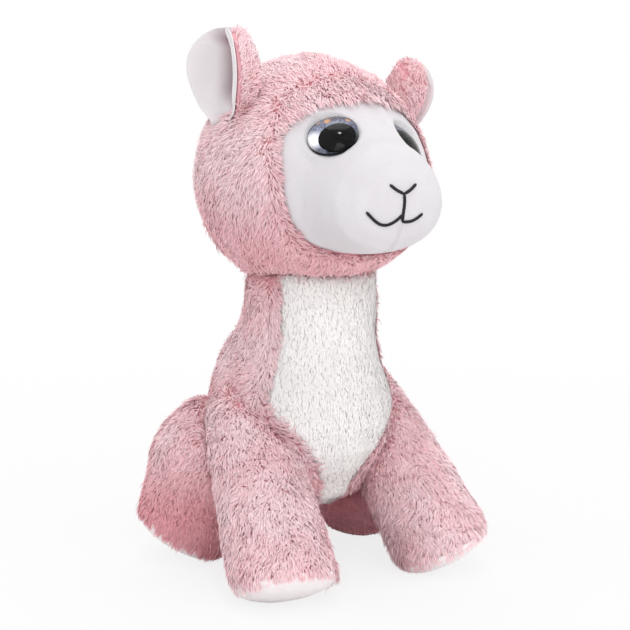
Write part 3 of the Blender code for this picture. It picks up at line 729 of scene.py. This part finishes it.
def plant(
    name, skin, comb, bare, others, fur, seed, density=FUR_DENSITY, length=FUR_LENGTH, width=FUR_WIDTH,
    lift=0.30, clump=0.42, loose=0.42, over=3.0, fringe=0.15, part=None,
):
    """Combed fur on a skin.

    lift is how far the strands stand up, clump how much they draw together and loose how much they stray.
    over is how hard they lean over the edge of a bare panel, and fringe how much longer they are there.
    part tells which of the roots to keep.
    """
    rng = np.random.default_rng(seed)
    mesh = skin.data
    area = scattered(mesh, 8, np.random.default_rng(0))[2] * 1e6
    roots, normals, _ = scattered(mesh, int(area * density), rng)
    if part is not None:
        keep = part(roots, normals)
        roots, normals = roots[keep], normals[keep]
    keep, lean = grown(roots, normals, bare, others)
    roots, normals, lean = roots[keep], normals[keep], lean[keep]
    count = len(roots)
    flow = comb(roots)
    flow += 0.8 * loose * np.stack([waves(roots, 0.016, seed + 11 + k) for k in range(3)], axis=1)
    flow += loose * rng.normal(size=(count, 3)) + over * lean
    flow -= normals * (flow * normals).sum(1, keepdims=True)
    flow = unit(flow)
    lengths = length * (0.70 + 0.4 * rng.random(count)) * (1 + 0.12 * waves(roots, 0.02, seed + 5))
    lengths *= np.where(rng.random(count) > 0.93, 1.35, 1.0)
    lengths *= 1 + np.linalg.norm(lean, axis=1) * fringe * (1 + 4 * ramp(roots[:, 2], *FRINGE_HEIGHT))
    rise = lift(roots) if callable(lift) else lift
    rise = rise * (1 + 0.30 * waves(roots, 0.010, seed + 7)) * (0.6 + 0.8 * rng.random(count))
    rise = np.where(rng.random(count) > 0.92, rise + loose, rise)
    rise = np.clip(rise, 0.04, 1.4)[:, None]
    lengths = lengths[:, None]
    mid = roots + lengths * 0.50 * unit(flow + normals * (rise + 0.45))
    tip = mid + lengths * 0.52 * unit(flow + normals * (rise - 0.25))
    leads = rng.permutation(count)[: max(count // TUFT, 1)]
    tree = KDTree(len(leads))
    for i, lead in enumerate(leads):
        tree.insert(roots[lead], i)
    tree.balance()
    nearest = leads[np.array([tree.find(point)[1] for point in roots])]
    pull = clump * (0.35 + 0.65 * rng.random((count, 1)))
    tip += (tip[nearest] - tip) * pull
    mid += (mid[nearest] - mid) * pull * 0.35
    way = unit(tip - roots)
    across = unit(np.cross(way, normals))
    roll = rng.normal(size=(count, 1)) * 0.6 * loose
    across = unit(across * np.cos(roll) + unit(np.cross(across, way)) * np.sin(roll))
    widths = width * (0.7 + 0.6 * rng.random((count, 1)))
    shape, faces = strand_shape()
    stations = np.where(shape[:, 1] > 0.9, 2, np.where(shape[:, 1] > 0.1, 1, 0))
    spine = np.stack([roots - normals * 0.0002, mid, tip], axis=1)
    points = spine[:, stations] + across[:, None] * widths[:, None] * shape[None, :, :1]
    points[:, :, 2] = np.maximum(points[:, :, 2], FLOOR_GAP)
    each = len(shape)
    corners = len(faces)
    first = points[0, faces[0]]
    if np.dot(np.cross(first[1] - first[0], first[2] - first[0]), normals[0]) < 0:
        faces = faces[:, ::-1]
    made = bpy.data.meshes.new(name)
    made.vertices.add(count * each)
    made.vertices.foreach_set("co", points.astype(np.float32).ravel())
    made.loops.add(count * corners * 3)
    index = (faces[None] + each * np.arange(count)[:, None, None]).astype(np.int32)
    made.loops.foreach_set("vertex_index", index.ravel())
    made.polygons.add(count * corners)
    made.polygons.foreach_set("loop_start", np.arange(0, count * corners * 3, 3, dtype=np.int32))
    made.update(calc_edges=True)
    for label, values in (
        ("along", np.tile(shape[:, 1], count)),
        ("strand", np.repeat(rng.random(count), each)),
        # how much painted shade each strand takes
        ("shade", np.repeat(shade_at(roots), each)),
    ):
        made.attributes.new(label, "FLOAT", "POINT").data.foreach_set("value", values.astype(np.float32))
    columns = math.ceil(math.sqrt(count))
    cell = np.stack([np.arange(count) % columns, np.arange(count) // columns], axis=1)
    local = np.stack([0.5 + 0.7 * shape[:, 0], 0.12 + 0.76 * shape[:, 1]], axis=1)
    corner = (cell[:, None, None] + local[faces][None]) / columns
    layer = made.uv_layers.new(name="OFBake")
    layer.data.foreach_set("uv", corner.astype(np.float32).ravel())
    piece = added(name, made, fur)
    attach(piece, "root")
    return piece


def combed(way):
    """A comb that follows one direction."""
    def comb(points):
        return np.tile(np.array(way, float), (len(points), 1))
    return comb


def head_comb(points):
    """Backwards over the crown, downwards at the sides and forwards over the brow."""
    back = ramp(points[:, 2], 0.17, 0.215)[:, None]
    flow = np.array((0, 1.0, -0.2)) * back + np.array((0, 0.35, -1.0)) * (1 - back)
    brow = (ramp(-points[:, 1], 0.020, 0.029) * ramp(points[:, 2], 0.190, 0.202))[:, None]
    return flow * (1 - brow) + np.array((0, -0.8, -0.5)) * brow


def chest_lift(points):
    """The white strands lie flat but for the lowest, which stand up a little."""
    return 0.14 - 0.10 * ramp(points[:, 2], 0.05, 0.08)


def on_side(hand):
    """Roots on one side of the toy's middle."""
    def part(points, normals):
        return points[:, 0] * hand >= 0
    return part


def clear_of(tree, gap, least):
    """Roots that stand at least a gap from another piece, or look away from it at least so much."""
    def part(points, normals):
        keep = []
        for point, normal in zip(points, normals):
            near, _, _, distance = tree.find_nearest(Vector(point))
            away = (Vector(point) - near).normalized().dot(Vector(normal))
            keep.append(distance > gap or away > least)
        return np.array(keep)
    return part


# Skins and panels

forms, moves = stuffed_forms()
finish = finishes()


def dressed(piece, finish_name, replaced=()):
    """The piece finished and attached to the root, with the nodes that it replaces hidden."""
    piece.data.materials.clear()
    piece.data.materials.append(finish[finish_name])
    if replaced:
        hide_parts(*replaced)
    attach(piece, "root")
    return piece


skins = {}
for name, piece in forms.items():
    sink(piece, SKIN_DEPTH)
    piece.name = f"{name}_skin"
    piece.data.shade_smooth()
    cover, panel, stuffing = FORMS[name]
    skins[name] = dressed(piece, "backing", (cover, stuffing))


def panel_pad(name, node_name, form_name, finish_name, voxel, closed_by=()):
    """A white panel: the node's own outline, evened, rounded at its rim and swollen with its form.

    closed_by are the nodes that fill its holes, so that the cloth runs on under them.
    """
    piece = remeshed(added(name, node_copy([node_name, *closed_by])), voxel)
    set_points(piece.data, eased(points_of(piece.data), piece.data, 3))
    swell(piece, form_name)
    set_points(piece.data, points_of(piece.data) + normals_of(piece.data) * PANEL_RISE)
    piece.data.shade_smooth()
    return dressed(piece, finish_name, (node_name,))


plates = [f"eye_iris_{side}" for side in HANDS]
face = panel_pad("face", "face_panel", "head", "face", PANEL_VOXELS["face"], plates)
chest = panel_pad("chest", "chest_panel", "torso", "chest backing", PANEL_VOXELS["chest"])
panels = {"head": [face], "torso": [chest]}
for side in HANDS:
    for pair in ("front", "hind"):
        name = f"{pair}_sole_pad_{side}"
        form = f"{pair}_leg_{side}"
        voxel = PANEL_VOXELS["sole"]
        panels[form] = [panel_pad(name, f"{pair}_sole_{side}", form, "white", voxel)]


# Ears

def ear_frame(side):
    """The directions up the ear, in front of it and across it to the back, and its root."""
    outwards, forwards = EAR_LEANS[side]
    up = Vector((outwards, -forwards, 1)).normalized()
    facing = Vector((math.sin(EAR_TURN), -math.cos(EAR_TURN), 0)).normalized()
    across = up.cross(facing).normalized()
    facing = across.cross(up)
    axes = np.array([up, facing, across]) * (HANDS[side], 1, 1)
    bm = node_copy([f"ear_lining_{side}"])
    local = np.array([vert.co[:] for vert in bm.verts]) @ axes.T
    bm.free()
    lowest = local[local[:, 0].argmin()]
    sideways = (local[:, 2].min() + local[:, 2].max()) / 2
    root = np.array((lowest[0] + 0.001, lowest[1] - LINING_THICK + EAR_CUP / 2, sideways)) @ axes
    return axes, root


def fold_at(height):
    """Where the front edge of the lining folds over, across the ear, and how deep the pocket by it is."""
    edge = 0.78 - 0.62 * ramp(height, 0.74, 0.97)
    deep = POCKET_DEPTH * ramp(height, 0.05, 0.36) * (1 - 0.5 * ramp(height, 0.80, 1.0))
    return edge, deep


def lining_depth(ahead, height, outline):
    """How far the lining's face stands before the ear's middle, by the place towards its front edge."""
    edge, deep = fold_at(height)
    cup = EAR_CUP * outline / (EAR_WIDTH / 2) * ahead ** 2
    pocket = deep * ramp(ahead, edge - 1.15, edge - 0.30) * (1 - ramp(ahead, edge - 0.17, edge))
    hem = deep * 0.42 * ramp(ahead, edge - 0.12, edge + 0.02) * (1 - 0.75 * ramp(ahead, edge + 0.03, 1.0))
    belly = 0.0016 * np.sin(math.pi * np.clip(height / 0.5, 0, 1)) * (1 - ramp(np.abs(ahead + 0.1), 0.2, 0.8))
    return cup - pocket + hem + belly + 0.0022


def leaf(name, side, layer, finish_name, replaced):
    """One closed layer of an ear: the white lining, or the furred back.

    Over the layer, ahead runs from -1 to 1 towards the ear's front edge, height from 0 to 1 up the ear and
    front from 0 to 1 through its thickness.
    """
    axes, root = ear_frame(side)
    bm = bmesh.new()
    bmesh.ops.create_grid(bm, x_segments=46, y_segments=34, size=1.0)
    bmesh.ops.solidify(bm, geom=bm.faces[:], thickness=1.0)
    bmesh.ops.subdivide_edges(
        bm, edges=[edge for edge in bm.edges if abs(edge.verts[0].co.z - edge.verts[1].co.z) > 0.5], cuts=1
    )
    piece = added(name, bm)
    place = points_of(piece.data)
    span = place[:, 2].max() - place[:, 2].min()
    front = (place[:, 2] - place[:, 2].min()) / span
    ahead = place[:, 0]
    height = 0.985 * (1 - (1 - (place[:, 1] + 1) / 2) ** 1.5)
    turn = math.pi * (EAR_START + (1 - EAR_START) * height ** EAR_FULLNESS)
    outline = EAR_WIDTH / 2 * np.sqrt(np.sin(turn))
    share, shift, top = EAR_LAYERS[layer][side]
    lining_share, lining_shift, _ = EAR_LAYERS["lining"][side]
    half = outline * share
    wide = outline * lining_share
    onto = (ahead * half + shift - lining_shift) / wide
    past = np.maximum(np.abs(onto) - 1, 0) * wide
    lining = lining_depth(np.clip(onto, -1, 1), height, outline)
    if layer == "lining":
        near = lining
        far = lining - LINING_THICK
    else:
        plump = EAR_PLUMP * np.sqrt(np.clip(4 * height * (1.02 - height), 0, 1)) * (1 - ahead ** 2)
        plump *= 1 - 0.5 * height ** 2
        near = lining - LINING_THICK - EAR_GAP - past * 0.9
        far = np.minimum(EAR_CUP * 0.5 * ahead ** 2 - 0.0028 - plump, near - 0.0012)
    thin = np.sqrt(np.clip(1 - np.abs(ahead) ** 10, 0, 1))
    depth = (near + far) / 2 + (near - far) * (front - 0.5) * (0.5 + 0.5 * thin)
    half = half + 0.0004 * (1 - np.abs(2 * front - 1)) * (np.abs(ahead) > 0.99)
    narrow = 0.5 + 0.5 * ramp(height, -0.02, 0.16)
    up = EAR_HEIGHT * height * top - 0.0035 * (1 - height) ** 6
    local = np.stack([up, depth - EAR_CUP / 2, -(ahead * half * narrow + shift)], axis=1)
    # Painted shade in the pocket by the fold, stored for the lining's material
    edge = fold_at(height)[0]
    dark = ramp(ahead, edge - 1.15, edge - 0.45) * (1 - ramp(ahead, edge - 0.03, edge + 0.02))
    dark *= ramp(height, 0.10, 0.34) * (1 - ramp(height, 0.84, 0.97))
    stored = piece.data.attributes.new("pocket", "FLOAT", "POINT")
    stored.data.foreach_set("value", dark.astype(np.float32))
    set_points(piece.data, local @ axes + root)
    bm = bmesh.new()
    bm.from_mesh(piece.data)
    bmesh.ops.recalc_face_normals(bm, faces=bm.faces)
    bm.to_mesh(piece.data)
    bm.free()
    piece.data.shade_smooth()
    return dressed(piece, finish_name, replaced)


# Eyes

def press(piece, at, depth, reach):
    """Brings the cloth under an eye flat against its plate, to this reach from its axis."""
    points = points_of(piece.data)
    turn = np.array(at.to_3x3())
    local = (points - np.array(at.translation)) @ turn
    far = np.hypot(local[:, 0], local[:, 1])
    share = (1 - ramp(far, reach, reach + EYE_DENT)) * (np.abs(local[:, 2]) < 0.008)
    local[:, 2] += share * (-depth - local[:, 2])
    set_points(piece.data, local @ turn.T + np.array(at.translation))


def turned(profile, steps):
    """A closed form from its profile of radius and height, spun about the height's axis."""
    bm = bmesh.new()
    points = [bm.verts.new((radius, 0, height)) for radius, height in profile]
    edges = [bm.edges.new(pair) for pair in zip(points, points[1:])]
    bmesh.ops.spin(
        bm, geom=points + edges, cent=(0, 0, 0), axis=(0, 0, 1), angle=math.tau, steps=steps, use_merge=True
    )
    bmesh.ops.remove_doubles(bm, verts=bm.verts, dist=0.000001)
    bmesh.ops.recalc_face_normals(bm, faces=bm.faces)
    return bm


def eye_frame(side):
    """The settled eye's own frame: its plate's underside, with Z along its axis and Y up the face."""
    bm = node_copy([f"eye_washer_{side}"])
    points = np.array([vert.co[:] for vert in bm.verts])
    bm.free()
    centre = points.mean(0)
    axis = Vector(np.linalg.eigh(np.cov((points - centre).T))[1][:, 0])
    if axis.y > 0:
        axis = -axis
    rise = (Vector((0, 0, 1)) - axis * axis.z).normalized()
    across = rise.cross(axis)
    frame_of = Matrix((across, rise, axis)).transposed().to_4x4()
    frame_of.translation = Vector(centre) + axis * WASHER_MIDDLE
    wide, high, deep, outwards, upwards = EYE_SETTLE[side]
    turn = Matrix.Rotation(math.radians(outwards) * HANDS[side], 4, "Y")
    tip = Matrix.Rotation(math.radians(-upwards), 4, "X")
    return frame_of @ Matrix.Translation((wide, high, -deep)) @ turn @ tip


def eye_piece(name, profile, steps, at, finish_name, replaced, shift=(0, 0)):
    """A turned piece of an eye, with its place across the plate stored for its material."""
    bm = turned(profile, steps)
    bmesh.ops.translate(bm, verts=bm.verts, vec=(*shift, 0))
    piece = added(name, bm)
    disc = points_of(piece.data) / EYE_RADIUS
    stored = piece.data.attributes.new("disc", "FLOAT_VECTOR", "POINT")
    stored.data.foreach_set("vector", disc.astype(np.float32).ravel())
    piece.data.transform(at)
    piece.data.shade_smooth()
    piece.data.set_sharp_from_angle(angle=math.radians(35))
    return dressed(piece, finish_name, (replaced,))


def build_eye(side):
    """An eye settled in the pressed cloth: its dome, its plate with the post, its pupil and its washer."""
    at = eye_frame(side)
    press(face, at, PLATE_PRESS, EYE_RADIUS * EYE_HUG[side])
    press(skins["head"], at, BACKING_PRESS, EYE_RADIUS + BACKING_REACH)
    shift = (-PUPIL_SHIFT[0] * HANDS[side], PUPIL_SHIFT[1])
    low = PLATE_THICK - 0.00005
    rise = EYE_DOME - EYE_RIM
    bend = (EYE_RADIUS ** 2 + rise ** 2) / (2 * rise)
    reach = math.asin(EYE_RADIUS / bend)
    peak = PLATE_THICK + LENS_LIFT + EYE_DOME
    dome = [(0, low), (EYE_RADIUS - EDGE_BEVEL, low), (EYE_RADIUS, low + EDGE_BEVEL)]
    for i in range(18):
        turn = reach * (1 - i / 18)
        dome.append((bend * math.sin(turn), peak - bend * (1 - math.cos(turn))))
    dome.append((0, peak))
    eye_piece(f"eye_dome_{side}", dome, 72, at, "lens", f"eye_lens_{side}")
    plate = [(0, -POST_LENGTH), (POST_RADIUS, -POST_LENGTH), (POST_RADIUS, 0), (EYE_RADIUS - EDGE_BEVEL, 0)]
    plate += [(EYE_RADIUS, EDGE_BEVEL), (EYE_RADIUS, PLATE_THICK)]
    plate += [(EYE_RADIUS * i / 12, PLATE_THICK) for i in range(11, -1, -1)]
    eye_piece(f"eye_plate_{side}", plate, 72, at, "iris", f"eye_iris_{side}")
    top = PLATE_THICK + PUPIL_THICK
    disc = [(0, low), (PUPIL_RADIUS, low), (PUPIL_RADIUS, top - 0.0001)]
    disc += [(PUPIL_RADIUS - 0.0001, top), (0, top)]
    eye_piece(f"eye_disc_{side}", disc, 64, at, "pupil", f"eye_pupil_{side}", shift)
    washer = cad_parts[f"eye_washer_{side}"].data
    washer.materials.clear()
    washer.materials.append(finish["washer"])


for side in HANDS:
    build_eye(side)


# Embroidery

def tree_from(*pieces):
    """A search tree of these objects' own meshes."""
    bm = bmesh.new()
    for piece in pieces:
        bm.from_mesh(piece.data)
    tree = BVHTree.FromBMesh(bm)
    bm.free()
    return tree


FACE = tree_from(face)


def stitched(name, paths, replaced):
    """Lines of thread on the face through places to the side and up: three plies laid round each other."""
    curve = bpy.data.curves.new(name, "CURVE")
    curve.dimensions = "3D"
    curve.bevel_depth = THREAD_RADIUS * 0.58
    curve.bevel_resolution = 1
    curve.use_fill_caps = True
    for places in paths:
        hits = [FACE.ray_cast(Vector((side, -0.2, up)), Vector((0, 1, 0)))[:2] for side, up in places]
        core = np.array([hit + normal * THREAD_RADIUS * 0.35 for hit, normal in hits])
        out = np.array([normal for _, normal in hits])
        way = unit(np.gradient(core, axis=0))
        across = np.cross(way, out)
        length = np.concatenate([[0], np.cumsum(np.linalg.norm(np.diff(core, axis=0), axis=1))])
        ends = np.sqrt(np.clip(np.minimum(length, length[-1] - length) / 0.0008, 0.12, 1))[:, None]
        for ply in range(3):
            turn = (length / 0.0021 + ply / 3) * math.tau
            ring = out * np.sin(turn)[:, None] + across * np.cos(turn)[:, None]
            points = core + ring * THREAD_RADIUS * 0.5 * ends
            spline = curve.splines.new("POLY")
            spline.points.add(len(points) - 1)
            spline.points.foreach_set("co", np.column_stack([points, np.ones(len(points))]).ravel())
            spline.points.foreach_set("radius", ends.ravel())
    held = bpy.data.objects.new(name, curve)
    scene.collection.objects.link(held)
    graph = bpy.context.evaluated_depsgraph_get()
    mesh = bpy.data.meshes.new_from_object(held.evaluated_get(graph))
    bpy.data.objects.remove(held)
    return dressed(added(name, mesh), "thread", (replaced,))


def line(points, step=0.00028):
    """Places a step apart along a smooth curve through points."""
    points = np.array(points, float)
    rows = np.vstack([2 * points[0] - points[1], points, 2 * points[-1] - points[-2]])
    made = []
    for before, first, second, after in zip(rows, rows[1:], rows[2:], rows[3:]):
        count = max(int(np.linalg.norm(second - first) / step), 2)
        for i in range(count):
            t = i / count
            made.append(0.5 * (
                2 * first + (second - before) * t + (2 * before - 5 * first + 4 * second - after) * t * t
                + (3 * first - before - 3 * second + after) * t ** 3
            ))
    return made + [points[-1]]


def mouth_arc(side):
    """One of the mouth's arcs, from its corner to its end at the muzzle's seam."""
    corner = MOUTH_CORNERS[side]
    end = MOUTH_CENTRE - (MOUTH_STEP if side == "left" else 0)
    places = []
    for i in range(9):
        share = i / 8
        up = corner[1] + (end - corner[1]) * share - MOUTH_SAGS[side] * math.sin(math.pi * share)
        places.append((corner[0] * HANDS[side] * (1 - share), up))
    return line(places)


side, up = NOSE_TIP
sag = (side * 0.5, (up + NOSE_BASE) / 2 - 0.0004)
nose = [line([(-side, up), (-sag[0], sag[1]), (0, NOSE_BASE)]), line([(side, up), sag, (0, NOSE_BASE)])]
lip_middle = (0.0002, (NOSE_BASE + MOUTH_CENTRE) / 2)
lip = line([(0, NOSE_BASE), lip_middle, (0, MOUTH_CENTRE), (0, MOUTH_CENTRE - MOUTH_STEP)])
stitched("nose_line", nose, "nose_stitch")
stitched("lip_line", [lip], "lip_stitch")
stitched("mouth_line", [mouth_arc("left"), mouth_arc("right")], "mouth_stitch")


# Fur in place

def others_than(*names):
    """A tree of every stuffed skin but these."""
    return tree_from(*[piece for key, piece in skins.items() if key not in names])


panels["head"] += [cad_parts[f"ear_lining_{side}"] for side in HANDS]
BARE = {name: tree_from(*pieces) for name, pieces in panels.items()}
head_others = others_than("head")
for side, hand in HANDS.items():
    plant(
        f"head_fur_{side}", skins["head"], head_comb, BARE["head"], head_others, finish["pink"], 101 + hand,
        part=on_side(hand),
    )
torso_comb = combed((0, 0.25, -1))
torso_others = others_than("torso")
for side, hand in HANDS.items():
    plant(
        f"torso_fur_{side}", skins["torso"], torso_comb, BARE["torso"], torso_others, finish["pink"],
        120 + hand, part=on_side(hand),
    )
for side, hand in HANDS.items():
    for pair in ("front", "hind"):
        name = f"{pair}_leg_{side}"
        low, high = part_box(f"{pair}_sole_{side}")
        top_low, top_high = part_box(name)
        foot = (np.array(low) + np.array(high)) / 2
        top = np.array([(top_low.x + top_high.x) / 2 * 0.7, (top_low.y + top_high.y) / 2, top_high.z])
        way = unit((foot - top)[None])[0]
        plant(
            f"{name}_fur", skins[name], combed(way), BARE[name], others_than(name), finish["pink"],
            130 + hand + len(pair),
        )
plant(
    "chest_fur", chest, combed((0, 0, -1)), None, others_than(), finish["chest"], 160,
    density=CHEST_FUR_DENSITY, length=CHEST_FUR_LENGTH, width=CHEST_FUR_WIDTH,
    lift=chest_lift, clump=0.5, loose=0.14,
)
for side, hand in HANDS.items():
    lining = leaf(f"ear_inside_{side}", side, "lining", "ear", (f"ear_lining_{side}",))
    back = leaf(f"ear_shell_{side}", side, "back", "backing", (f"ear_back_{side}",))
    axes = ear_frame(side)[0]
    lining_tree = tree_from(lining)
    plant(
        f"ear_fur_{side}", back, combed(axes[0] * 0.8 - axes[1] * 0.6), lining_tree, tree_from(skins["head"]),
        finish["pink"], 150 + hand, length=EAR_FUR_LENGTH, over=0.0, fringe=0.0,
        part=clear_of(lining_tree, EAR_BARE, EAR_FACINGS[side]),
    )
tail = remeshed(added("tail_skin", node_copy(["tail"])), PANEL_VOXELS["tail"])
set_points(tail.data, eased(points_of(tail.data), tail.data, 3))
sink(tail, TAIL_SINK)
tail.data.shade_smooth()
dressed(tail, "backing", ("tail",))
plant(
    "tail_fur", tail, combed((0, 1.0, -0.5)), None, tree_from(skins["torso"]), finish["pink"], 170,
    length=TAIL_FUR_LENGTH,
)


# Stage

def white_seen(tree):
    """White for what the camera, a gloss or clear plastic sees there, the plain light for the rest."""
    path = node(tree, "ShaderNodeLightPath")
    total = path.outputs["Is Camera Ray"]
    for name in ("Is Glossy Ray", "Is Transmission Ray"):
        step = node(tree, "ShaderNodeMath", operation="MAXIMUM")
        tree.links.new(total, step.inputs[0])
        tree.links.new(path.outputs[name], step.inputs[1])
        total = step.outputs[0]
    return total


def build_world():
    """An even white surround."""
    world = bpy.data.worlds.new("studio")
    scene.world = world
    world.use_nodes = True
    tree = world.node_tree
    tree.nodes.clear()
    soft = node(tree, "ShaderNodeBackground")
    soft.inputs["Color"].default_value = (1.0, 1.0, 1.0, 1.0)
    soft.inputs["Strength"].default_value = WORLD_LIGHT
    white = node(tree, "ShaderNodeBackground")
    white.inputs["Color"].default_value = (1.0, 1.0, 1.0, 1.0)
    white.inputs["Strength"].default_value = 1.0
    mix = node(tree, "ShaderNodeMixShader")
    tree.links.new(white_seen(tree), mix.inputs[0])
    tree.links.new(soft.outputs[0], mix.inputs[1])
    tree.links.new(white.outputs[0], mix.inputs[2])
    out = node(tree, "ShaderNodeOutputWorld")
    tree.links.new(mix.outputs[0], out.inputs["Surface"])


def build_floor():
    """A pale floor that takes the toy's shadow and goes over into the surround's white."""
    bm = bmesh.new()
    bmesh.ops.create_grid(bm, x_segments=1, y_segments=1, size=6.0)
    floor = added("floor", bm, smooth=False)
    made, tree, shader = principled(
        "pale floor", 0.9, Base_Color=(0.86, 0.86, 0.86, 1.0), Specular_IOR_Level=0.1
    )
    glow = node(tree, "ShaderNodeEmission")
    glow.inputs["Strength"].default_value = 1.0
    mix = node(tree, "ShaderNodeMixShader")
    place = node(tree, "ShaderNodeTexCoord")
    far = node(tree, "ShaderNodeVectorMath", operation="LENGTH")
    tree.links.new(place.outputs["Object"], far.inputs[0])
    plain = spread(tree, far.outputs["Value"], 0.12, 0.6, FLOOR_SHADE, 1.0)
    share = node(tree, "ShaderNodeMath", operation="MULTIPLY")
    tree.links.new(white_seen(tree), share.inputs[0])
    tree.links.new(plain, share.inputs[1])
    tree.links.new(share.outputs[0], mix.inputs[0])
    tree.links.new(shader.outputs[0], mix.inputs[1])
    tree.links.new(glow.outputs[0], mix.inputs[2])
    tree.links.new(mix.outputs[0], tree.nodes["Material Output"].inputs["Surface"])
    floor.data.materials.append(made)


def build_lamps():
    """Round lamps, each turned to its aim."""
    for name, place, aim, size, power in LAMPS:
        lamp = bpy.data.lights.new(name, "AREA")
        lamp.shape = "DISK"
        lamp.size = size
        lamp.energy = power
        held = bpy.data.objects.new(name, lamp)
        scene.collection.objects.link(held)
        held.location = place
        held.rotation_euler = (Vector(aim) - Vector(place)).to_track_quat("-Z", "Y").to_euler()


def build_camera():
    """The photograph's view."""
    camera = bpy.data.cameras.new("camera")
    camera.sensor_width = 36.0
    camera.lens = CAMERA_LENS
    camera.shift_x = CAMERA_SHIFT
    held = bpy.data.objects.new("camera", camera)
    scene.collection.objects.link(held)
    held.location = CAMERA_PLACE
    ahead = Vector((math.sin(CAMERA_TURN), math.cos(CAMERA_TURN), 0)) * math.cos(CAMERA_PITCH)
    ahead.z = -math.sin(CAMERA_PITCH)
    held.rotation_euler = ahead.to_track_quat("-Z", "Y").to_euler()
    scene.camera = held
    scene.view_settings.view_transform = "Standard"


build_world()
build_floor()
build_lamps()
build_camera()
